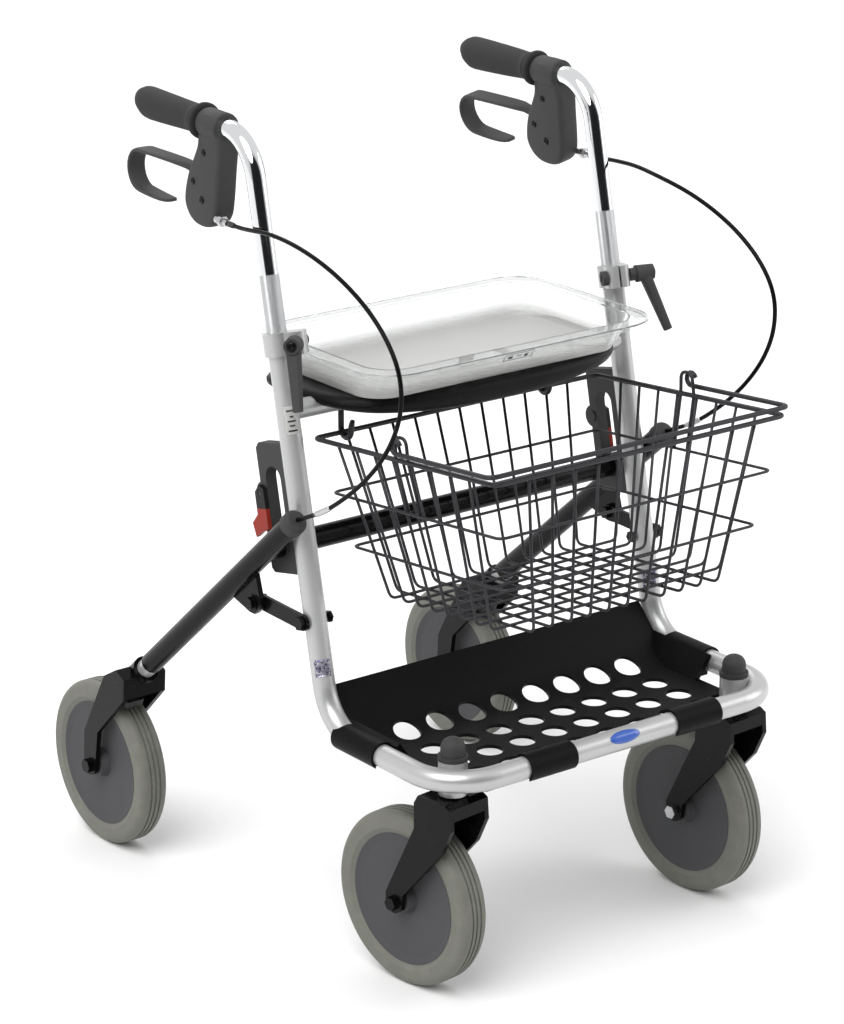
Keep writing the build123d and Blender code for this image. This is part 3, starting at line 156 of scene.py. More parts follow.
# ---- shader maths ----------------------------------------------------------------------------------
class Value:
    """A shader socket in arithmetic: each operation on it adds a Math node."""

    def __init__(self, finish, socket):
        self.finish = finish
        self.socket = socket

    def math(self, operation, first, second=0.0):
        return self.finish.add("ShaderNodeMath", {"operation": operation}, {0: first, 1: second})

    def __add__(self, other):
        return self.math("ADD", self, other)

    def __radd__(self, other):
        return self.math("ADD", other, self)

    def __sub__(self, other):
        # Makes every piece in order.
        return self.math("SUBTRACT", self, other)

    def __rsub__(self, other):
        return self.math("SUBTRACT", other, self)

    def __mul__(self, other):
        return self.math("MULTIPLY", self, other)

    def __rmul__(self, other):
        return self.math("MULTIPLY", other, self)

    def __truediv__(self, other):
        return self.math("DIVIDE", self, other)

    def __gt__(self, other):
        return self.math("GREATER_THAN", self, other)

    def __lt__(self, other):
        return self.math("LESS_THAN", self, other)

    def __abs__(self):
        return self.math("ABSOLUTE", self)


class Nodes:
    """The nodes of one material or sky while they are being made."""

    def __init__(self, owner):
        owner.use_nodes = True
        self.tree = owner.node_tree
        self.tree.nodes.clear()

    def add(self, kind, settings=None, inputs=None, output=0):
        """Adds a node: its settings are set first, then the values or links of its sockets."""
        node = self.tree.nodes.new(kind)
        for key, value in (settings or {}).items():
            if key == "stops":
                ramp = node.color_ramp
                ramp.elements[0].position, ramp.elements[0].color = value[0]
                ramp.elements[1].position, ramp.elements[1].color = value[-1]
                for position, colour in value[1:-1]:
                    ramp.elements.new(position).color = colour
            else:
                setattr(node, key, value)
        for key, value in (inputs or {}).items():
            if isinstance(value, Value):
                self.tree.links.new(value.socket, node.inputs[key])
            else:
                node.inputs[key].default_value = value
        return Value(self, node.outputs[output])

    def output(self, kind, shader):
        """Ends the tree in an output node."""
        node = self.tree.nodes.new(kind)
        self.tree.links.new(shader.socket, node.inputs["Surface"])


class Finish(Nodes):
    """One material while it is being made."""

    def __init__(self, name):
        self.material = bpy.data.materials.new(name)
        super().__init__(self.material)
        self.place = self.add("ShaderNodeTexCoord", output="Object")

    def noise(self, scale, detail=3.0, roughness=0.5, stretch=None):
        """Noise from 0 to 1 over the surface; scale is features to the metre."""
        place = self.place
        if stretch:
            place = self.add("ShaderNodeVectorMath", {"operation": "MULTIPLY"}, {0: place, 1: stretch})
        return self.add("ShaderNodeTexNoise", {"noise_dimensions": "3D"},
                        {"Vector": place, "Scale": scale, "Detail": detail, "Roughness": roughness}, "Fac")

    def cells(self, scale, feature="F1", output="Distance"):
        """Distance inside small cells, for grains and dimples."""
        return self.add("ShaderNodeTexVoronoi", {"feature": feature},
                        {"Vector": self.place, "Scale": scale}, output)

    def axis(self, name):
        """One coordinate of the surface, in metres."""
        return self.add("ShaderNodeSeparateXYZ", None, {0: self.place}, name)

    def spread(self, value, low, high, to_low=0.0, to_high=1.0):
        """Maps a value from one range to another, clamped."""
        return self.add("ShaderNodeMapRange", {"clamp": True},
                        {"Value": value, "From Min": low, "From Max": high,
                         "To Min": to_low, "To Max": to_high}, "Result")

    def blend(self, factor, first, second):
        """Colour between two colours."""
        sockets = {0: factor, 6: opaque(first), 7: opaque(second)}
        return self.add("ShaderNodeMix", {"data_type": "RGBA"}, sockets, 2)

    def bump(self, height, distance, strength=1.0, normal=None):
        """Surface normal from a height."""
        sockets = {"Strength": strength, "Distance": distance, "Height": height}
        if normal is not None:
            sockets["Normal"] = normal
        return self.add("ShaderNodeBump", None, sockets, "Normal")

    def surface(self, sockets):
        """Finishes the material with one principled shader."""
        self.output("ShaderNodeOutputMaterial", self.add("ShaderNodeBsdfPrincipled", None, sockets))
        return self.material


def opaque(colour):
    """A colour with alpha, or a link as it is."""
    return colour if isinstance(colour, Value) else (*colour[:3], 1.0)


def tinted(colour, share):
    """A colour made lighter or darker."""
    return tuple(min(1.0, c * share) for c in colour)


# ---- finishes --------------------------------------------------------------------------------------
def silver_paint(name, colour):
    """Satin metallic paint: fine flake, a soft orange peel and faint rubbed patches."""
    f = Finish(name)
    flake = f.noise(2600, 1.0)
    rubbed = f.spread(f.noise(14, 5.0, 0.62), 0.55, 0.75)
    base = f.blend(flake, tinted(colour, 0.93), tinted(colour, 1.08))
    base = f.blend(rubbed * 0.35, base, tinted(colour, 0.86))
    normal = f.bump(f.noise(420, 2.0), 0.00006)
    return f.surface({"Base Color": base, "Metallic": 0.55, "Roughness": 0.30 + 0.10 * rubbed + 0.05 * flake,
                      "Coat Weight": 0.25, "Coat Roughness": 0.18, "Normal": normal})


def bright_chrome(name, colour):
    """Polished chrome with faint finger marks, knurled in herringbone on the part that slides in the leg."""
    f = Finish(name)
    x, y, z = (f.axis(n) for n in "XYZ")
    c, s = cos(LEG_LEAN), sin(LEG_LEAN)
    behind = (y - LEG_FOOT[0]) * c - (z - LEG_FOOT[1]) * s
    up = (y - LEG_FOOT[0]) * s + (z - LEG_FOOT[1]) * c
    turn = f.add("ShaderNodeMath", {"operation": "ARCTAN2"}, {0: behind, 1: abs(x) - LEG_X})
    columns = 9
    zigzag = f.add("ShaderNodeMath", {"operation": "PINGPONG"}, {0: turn + pi, 1: pi / columns})
    ridge = f.add("ShaderNodeMath", {"operation": "SINE"}, {0: up * 2100.0 + zigzag * 20.0})
    knurled = up < KNURL_TOP
    height = f.spread(ridge, -0.6, 0.6) * knurled
    marks = f.spread(f.noise(26, 4.0, 0.6, (1, 1, 0.35)), 0.5, 0.8)
    # painted shade: the knurl's grooves are darkened in the base colour, down to a third of the chrome's
    # colour
    base = f.blend(knurled * (1.0 - f.spread(ridge, -0.8, 0.4)), colour, tinted(colour, 0.32))
    return f.surface({"Base Color": base, "Metallic": 1.0, "Roughness": 0.05 + 0.09 * marks + 0.16 * knurled,
                      "Normal": f.bump(height, 0.00035)})


def zinc(name, colour):
    """Bright zinc plate with a brushed grain."""
    f = Finish(name)
    grain = f.noise(900, 2.0, 0.5, (1, 1, 0.1))
    return f.surface({"Base Color": f.blend(grain, tinted(colour, 0.85), colour), "Metallic": 1.0,
                      "Roughness": 0.22 + 0.16 * grain, "Normal": f.bump(grain, 0.00004)})


def black_powder(name, colour):
    """Gloss black powder coat with a light orange peel."""
    f = Finish(name)
    dust = f.spread(f.noise(32, 6.0, 0.66), 0.52, 0.78)
    base = f.blend(dust, colour, tinted(colour, 2.1))
    return f.surface({"Base Color": base, "Roughness": 0.26 + 0.16 * dust, "Specular IOR Level": 0.06,
                      "Coat Weight": 0.18, "Coat Roughness": 0.08,
                      "Normal": f.bump(f.noise(330, 2.0), 0.00012)})


def moulded_plastic(name, colour, grain=1400.0, roughness=0.36, depth=0.00008):
    """Moulded plastic with a fine spark-eroded grain and slight scuffs."""
    f = Finish(name)
    pits = f.cells(grain)
    scuff = f.spread(f.noise(24, 6.0, 0.7), 0.55, 0.8)
    base = f.blend(scuff, colour, tinted(colour, 1.9))
    return f.surface({"Base Color": base, "Roughness": roughness + 0.14 * scuff + 0.06 * pits,
                      "Specular IOR Level": 0.08, "Normal": f.bump(pits, depth)})


def latch_plastic(name, colour, finger):
    """Latch plastic: the part under the finger is red, the finger itself is black."""
    f = Finish(name)
    y, z = f.axis("Y"), f.axis("Z")
    up = (y - LEG_FOOT[0]) * sin(LEG_LEAN) + (z - LEG_FOOT[1]) * cos(LEG_LEAN)
    grain = f.cells(1400)
    base = f.blend(up > LATCH_SPLIT, f.blend(grain, tinted(colour, 0.9), colour), finger)
    return f.surface({"Base Color": base, "Roughness": 0.32 + 0.06 * grain, "Specular IOR Level": 0.2,
                      "Normal": f.bump(grain, 0.00005)})


def skin_foam(name, colour):
    """Moulded foam skin with a leather-like grain."""
    f = Finish(name)
    grain = f.cells(520, "SMOOTH_F1") + 0.5 * f.cells(1300)
    worn = f.spread(f.noise(9, 5.0, 0.6), 0.5, 0.78)
    base = f.blend(worn, colour, tinted(colour, 1.8))
    return f.surface({"Base Color": base, "Roughness": 0.36 + 0.12 * worn, "Specular IOR Level": 0.14,
                      "Normal": f.bump(grain, 0.00022)})


def clear_plastic(name):
    """Clear moulded plastic whose floor is frosted by a fine texture."""
    f = Finish(name)
    z = f.axis("Z")
    inside = f.spread(z, 0.631, 0.646, 0.84, 0.10)
    stipple = f.cells(900)
    clear = f.add("ShaderNodeBsdfPrincipled", None, {
        "Base Color": (0.97, 0.985, 0.985, 1.0), "Roughness": 0.02, "IOR": 1.35,
        "Transmission Weight": 1.0, "Specular IOR Level": 0.5})
    frosted = f.add("ShaderNodeBsdfPrincipled", None, {
        "Base Color": (0.60, 0.60, 0.585, 1.0), "Roughness": 0.35, "Alpha": 0.86,
        "Normal": f.bump(stipple, 0.0003)})
    mixed = f.add("ShaderNodeMixShader", None, {0: inside, 1: clear, 2: frosted})
    f.output("ShaderNodeOutputMaterial", mixed)
    return f.material


def tyre_rubber(name, colour):
    """Grey solid tyre with scuffed tread and moulding marks."""
    f = Finish(name)
    scuff = f.spread(f.noise(60, 6.0, 0.65), 0.45, 0.75)
    base = f.blend(scuff, tinted(colour, 0.92), tinted(colour, 1.16))
    base = f.blend(f.spread(f.noise(7, 2.0), 0.5, 0.8) * 0.5, base, tinted(colour, 0.8))
    return f.surface({"Base Color": base, "Roughness": 0.58 + 0.14 * scuff,
                      "Normal": f.bump(f.noise(700, 3.0) + 0.4 * scuff, 0.00012)})


def reflective_film(name):
    """Reflective film: silver and violet facets in a square grid."""
    f = Finish(name)
    facets = f.cells(420, "F1", "Color")
    lit = f.add("ShaderNodeSeparateColor", None, {0: facets}, "Red")
    grid = f.cells(230)
    base = f.blend(lit, (0.10, 0.07, 0.20), (0.86, 0.85, 0.92))
    return f.surface({"Base Color": base, "Metallic": 0.75, "Roughness": 0.18 + 0.2 * lit,
                      "Normal": f.bump(grid, 0.0003)})


def printed_label(name, colour):
    """Matt printed film."""
    f = Finish(name)
    fibre = f.noise(1500, 2.0)
    return f.surface({"Base Color": f.blend(fibre, tinted(colour, 0.94), colour),
                      "Roughness": 0.42 + 0.08 * fibre, "Normal": f.bump(fibre, 0.00003)})


def enamel(name, colour):
    """Glossy domed enamel."""
    f = Finish(name)
    depth = f.noise(120, 2.0)
    return f.surface({"Base Color": f.blend(depth, tinted(colour, 0.9), tinted(colour, 1.1)),
                      "Roughness": 0.14 + 0.04 * depth, "Coat Weight": 0.6, "Coat Roughness": 0.05})


def finish(name):
    """The material of that name, made on first use from the panel's colours."""
    found = bpy.data.materials.get(name)
    if found:
        return found
    c = bpy.context.scene.walker_finishes
    makers = {
        "silver_paint": lambda: silver_paint(name, c.silver),
        "handle_chrome": lambda: bright_chrome(name, c.chrome),
        "zinc_plate": lambda: zinc(name, c.steel),
        "black_powder": lambda: black_powder(name, c.black_paint),
        "black_wire": lambda: moulded_plastic(name, c.black_paint, 700.0, 0.26, 0.00004),
        "black_plastic": lambda: moulded_plastic(name, c.black_plastic),
        "shelf_plastic": lambda: moulded_plastic(name, c.black_plastic, 900.0, 0.40, 0.00016),
        "sheath_plastic": lambda: moulded_plastic(name, c.black_plastic, 2200.0, 0.20, 0.00003),
        "seat_skin": lambda: skin_foam(name, c.seat_skin),
        "grip_rubber": lambda: moulded_plastic(name, c.rubber, 1000.0, 0.50, 0.00014),
        "latch_red": lambda: latch_plastic(name, c.red, c.black_plastic),
        "clear_tray": lambda: clear_plastic(name),
        "tyre_rubber": lambda: tyre_rubber(name, c.tyre),
        "hub_plastic": lambda: moulded_plastic(name, c.hub, 800.0, 0.38, 0.00016),
        "reflective_film": lambda: reflective_film(name),
        "label_film": lambda: printed_label(name, (0.84, 0.84, 0.82)),
        "print_grey": lambda: printed_label(name, (0.06, 0.06, 0.065)),
        "badge_blue": lambda: enamel(name, c.badge),
    }
    return makers[name]()


def coat(name, *nodes):
    """Gives CAD nodes a finish through their own material slots."""
    for node in nodes:
        for material_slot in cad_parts[node].material_slots:
            material_slot.material = finish(name)


def both(*stems):
    """Node names on both sides."""
    return [f"{stem}_{side}" for stem in stems for side, sign in SIDES]


# ---- shapes ----------------------------------------------------------------------------------------
def piece(name, mesh, finish_name, body, replaced=()):
    """A new object that rides on a body and may stand for CAD nodes."""
    for polygon in mesh.polygons:
        polygon.use_smooth = True
    obj = bpy.data.objects.new(name, mesh)
    bpy.context.scene.collection.objects.link(obj)
    mesh.materials.append(finish(finish_name))
    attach(obj, body)
    if replaced:
        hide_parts(*replaced)
    return obj


def to_mesh(name, bm):
    """The finished mesh of a bmesh, with faces turned outward."""
    bmesh.ops.recalc_face_normals(bm, faces=bm.faces)
    mesh = bpy.data.meshes.new(name)
    bm.to_mesh(mesh)
    bm.free()
    return mesh


def loft(bm, rings, closed_ends=True):
    """Skins closed rings of points in order."""
    rows = [[bm.verts.new(p) for p in ring] for ring in rings]
    count = len(rows[0])
    for low, high in zip(rows, rows[1:]):
        for i in range(count):
            j = (i + 1) % count
            bm.faces.new((low[i], low[j], high[j], high[i]))
    if closed_ends:
        for row in (rows[0], rows[-1]):
            middle = bm.verts.new(sum((v.co for v in row), Vector()) / count)
            for i in range(count):
                bm.faces.new((row[i], row[(i + 1) % count], middle))
    return rows


def circle(middle, across, other, radius, sides):
    """Points round a circle that two square directions span."""
    return [middle + (across * cos(a) + other * sin(a)) * radius
            for a in (2 * pi * k / sides for k in range(sides))]


def sweep(bm, path, radius, sides=10, closed=False):
    """A round wire along a path, with flat ends; radius is one number or one for each point."""
    count = len(path)
    radii = radius if isinstance(radius, (list, tuple)) else [radius] * count
    tangents = []
    for i in range(count):
        before = path[(i - 1) % count] if closed or i > 0 else path[i]
        after = path[(i + 1) % count] if closed or i < count - 1 else path[i]
        tangents.append((after - before).normalized())
    across = tangents[0].orthogonal().normalized()
    rings = []
    for point, tangent, r in zip(path, tangents, radii):
        across = (across - tangent * across.dot(tangent)).normalized()
        rings.append(circle(point, across, tangent.cross(across), r, sides))
    if closed:
        rows = [[bm.verts.new(p) for p in ring] for ring in rings]
        for low, high in zip(rows, rows[1:] + rows[:1]):
            shift = 0
            if low is rows[-1]:
                shift = min(range(sides), key=lambda k: (high[k].co - low[0].co).length)
            for i in range(sides):
                j = (i + 1) % sides
                bm.faces.new((low[i], low[j], high[(j + shift) % sides], high[(i + shift) % sides]))
    else:
        loft(bm, rings)


def bent(points, radius, steps=5, closed=False):
    """A bent wire's path: straight runs with rounded corners."""
    count = len(points)
    path = []
    for i, point in enumerate(points):
        if not closed and i in (0, count - 1):
            path.append(point.copy())
            continue
        before, after = points[i - 1], points[(i + 1) % count]
        a, b = (before - point).normalized(), (after - point).normalized()
        half = a.angle(b) / 2
        reach = min(radius / max(1e-6, abs(sin(half) / cos(half))),
                    0.48 * (before - point).length, 0.48 * (after - point).length)
        start, end = point + a * reach, point + b * reach
        for k in range(steps + 1):
            t = k / steps
            path.append(start * (1 - t) ** 2 + point * 2 * t * (1 - t) + end * t ** 2)
    return path


def smooth_outline(points, steps=6):
    """A closed smooth curve through flat points."""
    count = len(points)
    outline = []
    for i in range(count):
        p0, p1, p2, p3 = (Vector(points[(i + k) % count]) for k in (-1, 0, 1, 2))
        for k in range(steps):
            t = k / steps
            outline.append(0.5 * ((2 * p1) + (p2 - p0) * t + (2 * p0 - 5 * p1 + 4 * p2 - p3) * t * t
                                  + (3 * p1 - p0 - 3 * p2 + p3) * t ** 3))
    return outline


def shrunk(outline, inset):
    """The outline moved inward by a distance, for outlines that run counter-clockwise."""
    count = len(outline)
    moved = []
    for i, point in enumerate(outline):
        run = (outline[(i + 1) % count] - outline[i - 1]).normalized()
        moved.append(point + Vector((-run.y, run.x)) * inset)
    return moved


def turned(bm, profile, origin, axis, sides=40):
    """A turned shape: profile is (distance along the axis, radius) pairs."""
    axis = axis.normalized()
    across = axis.orthogonal().normalized()
    other = axis.cross(across)
    loft(bm, [circle(origin + axis * along, across, other, max(radius, 1e-5), sides)
              for along, radius in profile])


def button_screw(bm, place, axis, radius, height):
    """A domed screw head with a hexagon socket."""
    axis = axis.normalized()
    profile = [(0, radius), (height * 0.35, radius), (height * 0.75, radius * 0.82), (height, radius * 0.52)]
    across = axis.orthogonal().normalized()
    other = axis.cross(across)
    rings = [circle(place + axis * along, across, other, r, 24) for along, r in profile]
    for depth in (height, height * 0.35):
        ring = []
        for k in range(24):
            a = 2 * pi * k / 24
            flat = radius * 0.42 * cos(pi / 6) / cos((a % (pi / 3)) - pi / 6)
            ring.append(place + axis * depth + (across * cos(a) + other * sin(a)) * flat)
        rings.append(ring)
    loft(bm, rings)


# ---- operators -------------------------------------------------------------------------------------
class PieceMaker:
    """What every operator here has in common."""
    bl_options = {"REGISTER", "UNDO"}


class WALKER_OT_stage(PieceMaker, bpy.types.Operator):
    """Makes the pale floor, the soft lights and the camera"""
    bl_idname = "walker.stage"
    bl_label = "Stage"

    def execute(self, context):
        s = context.scene.walker_stage
        self.camera(context, s)
        self.floor(context, s)
        self.sky(context, s)
        self.lights(context, s)
        context.scene.view_settings.view_transform = "Standard"
        return {"FINISHED"}

    def camera(self, context, s):
        """The camera, above and to the front right."""
        camera_data = bpy.data.cameras.new("studio_camera")
        camera_data.lens = s.lens
        camera_data.sensor_width = 36.0
        camera_data.sensor_fit = "AUTO"
        camera = bpy.data.objects.new("studio_camera", camera_data)
        camera.location = (-2.3301, -3.0445, 1.7381)
        camera.rotation_euler = (radians(71.187), 0.0, radians(-37.328))
        context.scene.collection.objects.link(camera)
        context.scene.camera = camera

    def floor(self, context, s):
        """The wide pale floor."""
        bm = bmesh.new()
        half = s.floor_size / 2
        corners = ((-half, -half, 0), (half, -half, 0), (half, half, 0), (-half, half, 0))
        bm.faces.new([bm.verts.new(p) for p in corners])
        mesh = to_mesh("studio_floor", bm)
        floor = bpy.data.objects.new("studio_floor", mesh)
        context.scene.collection.objects.link(floor)
        f = Finish("studio_floor")
        shade = f.noise(0.8, 2.0)
        mesh.materials.append(f.surface({
            "Base Color": f.blend(shade, tinted(s.floor_colour, 0.99), s.floor_colour),
            "Roughness": 0.85 + 0.05 * shade, "Specular IOR Level": 0.1}))

    def sky(self, context, s):
        """The light from all round."""
        world = bpy.data.worlds.new("studio_sky")
        context.scene.world = world
        # bright all round, with a dark stretch in front for the chrome and paint to mirror
        sky = Nodes(world)
        place = sky.add("ShaderNodeTexCoord", output="Generated")
        toward = sky.add("ShaderNodeVectorMath", {"operation": "DOT_PRODUCT"},
                         {0: place, 1: (-0.42, -0.90, 0.02)}, "Value")
        stops = ((0.30, (1.0, 1.0, 1.0, 1)), (0.56, (0.72, 0.72, 0.73, 1)),
                 (0.68, (0.03, 0.03, 0.032, 1)), (0.93, (0.02, 0.02, 0.022, 1)))
        light = sky.add("ShaderNodeValToRGB", {"stops": stops}, {0: toward}, "Color")
        sky.output("ShaderNodeOutputWorld", sky.add("ShaderNodeBackground", None,
                                                    {"Strength": s.sky_strength, "Color": light}))

    def lights(self, context, s):
        """A large soft sun and two softboxes, all turned to the seat."""
        lights = (("key_light", "SUN", (-2.6, -1.2, 4.2), s.key_power),
                  ("fill_light", "AREA", (2.8, -1.6, 1.8), s.fill_power),
                  ("back_light", "AREA", (0.6, 2.8, 2.6), s.fill_power))
        for name, kind, place, power in lights:
            data = bpy.data.lights.new(name, kind)
            data.energy = power
            if kind == "SUN":
                data.angle = radians(50)
            else:
                data.size = 2.0
            light = bpy.data.objects.new(name, data)
            light.location = place
            toward = Vector((0, 0, 0.45)) - Vector(place)
            light.rotation_euler = toward.to_track_quat("-Z", "Y").to_euler()
            context.scene.collection.objects.link(light)


# centre line of each brake cable, given as if both were on the left
CABLE_LEAD = {
    "right": ((0.2445, 0.0360, 0.8020), (0.2458, 0.0120, 0.8020),
              (0.2502, -0.0140, 0.8055), (0.2525, -0.0520, 0.8100)),
    "left": ((0.2650, 0.0360, 0.8060), (0.2650, 0.0120, 0.8065),
             (0.2625, -0.0140, 0.8090), (0.2590, -0.0520, 0.8110)),
}
CABLE_RUN = (
    (0.2535, -0.0980, 0.8080), (0.2545, -0.1460, 0.8000), (0.2555, -0.1920, 0.7865),
    (0.2565, -0.2350, 0.7670), (0.2575, -0.2700, 0.7410), (0.2580, -0.2910, 0.7110),
    (0.2580, -0.2935, 0.6760), (0.2585, -0.2810, 0.6410), (0.2590, -0.2550, 0.6050),
    (0.2600, -0.2210, 0.5725), (0.2610, -0.1850, 0.5455), (0.2620, -0.1520, 0.5245),
    (0.2620, -0.1123, 0.5077),
)


class WALKER_OT_cables(PieceMaker, bpy.types.Operator):
    """Makes the two brake cables in their sheaths, with their ferrules"""
    bl_idname = "walker.cables"
    bl_label = "Brake cables"

    def execute(self, context):
        s = context.scene.walker_trim
        for side, sign in SIDES:
            curve = bpy.data.curves.new(f"cable_sheath_{side}", "CURVE")
            curve.dimensions = "3D"
            spline = curve.splines.new("NURBS")
            route = CABLE_LEAD[side] + CABLE_RUN
            spline.points.add(len(route) - 1)
            for point, (x, y, z) in zip(spline.points, route):
                point.co = (sign * x, y, z, 1.0)
            spline.order_u = 3
            spline.use_endpoint_u = True
            curve.resolution_u = 12
            sheath = bpy.data.objects.new(f"cable_sheath_{side}", curve)
            context.scene.collection.objects.link(sheath)
            context.view_layer.update()
            line = bpy.data.meshes.new_from_object(sheath.evaluated_get(context.evaluated_depsgraph_get()))
            path = [v.co.copy() for v in line.vertices]
            bpy.data.meshes.remove(line)
            curve.bevel_depth = s.cable / 2
            curve.bevel_resolution = 5
            curve.use_fill_caps = True
            curve.materials.append(finish("sheath_plastic"))
            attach(sheath, f"handle_{side}")
            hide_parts(f"brake_cable_{side}")
            runs = (("ferrule", path[::-1], 0.034, 0.034, "zinc_plate"),
                    ("boot", path, 0.0, 0.016, "black_plastic"))
            for name, run, start, length, cover in runs:
                stretch, gone = [], 0.0
                for a, b in zip(run, run[1:]):
                    if start <= gone <= start + length:
                        stretch.append(a)
                    gone += (b - a).length
                bm = bmesh.new()
                last = len(stretch) - 1
                widths = [s.ferrule / 2 * (0.78 if i in (0, last) else 1.0) for i in range(last + 1)]
                sweep(bm, stretch, widths, 16)
                piece(f"cable_{name}_{side}", to_mesh(name, bm), cover,
                                  f"handle_{side}")
        return {"FINISHED"}


class WALKER_OT_frame(PieceMaker, bpy.types.Operator):
    """Finishes the silver front frame and the black folding rear frame"""
    bl_idname = "walker.frame"
    bl_label = "Frame"

    def execute(self, context):
        coat("silver_paint", "front_frame", *both("height_collar", "leg_insert"))
        coat("black_powder", "rear_frame", *both("rear_fork", "caster_fork", "fold_link", "link_stud"))
        coat("black_plastic", *both("leg_end_cap", "fold_guide", "crossbar_bush", "caster_cap", "brake_shoe"))
        coat("latch_red", *both("fold_latch"))
        return {"FINISHED"}


class WALKER_OT_clamps(PieceMaker, bpy.types.Operator):
    """Finishes the clamp levers that hold the handle height"""
    bl_idname = "walker.clamps"
    bl_label = "Clamps"

    def execute(self, context):
        coat("black_plastic", *both("clamp_knob", "clamp_lever"))
        c, s = cos(LEG_LEAN), sin(LEG_LEAN)
        for side, sign in SIDES:
            turn = CLAMP_TURN[side]
            front = Vector((-sign * sin(turn), -cos(turn) * c, cos(turn) * s))
            outward = Vector((sign * cos(turn), -sin(turn) * c, sin(turn) * s))
            bm = bmesh.new()
            place = leg_point(sign * LEG_X, 0, CLAMP_UP) + front * 0.022 + outward * 0.0424
            button_screw(bm, place, outward, 0.0058, 0.0024)
            piece(f"clamp_screw_{side}", to_mesh("clamp_screw", bm), "black_powder",
                  f"clamp_lever_{side}")
        return {"FINISHED"}


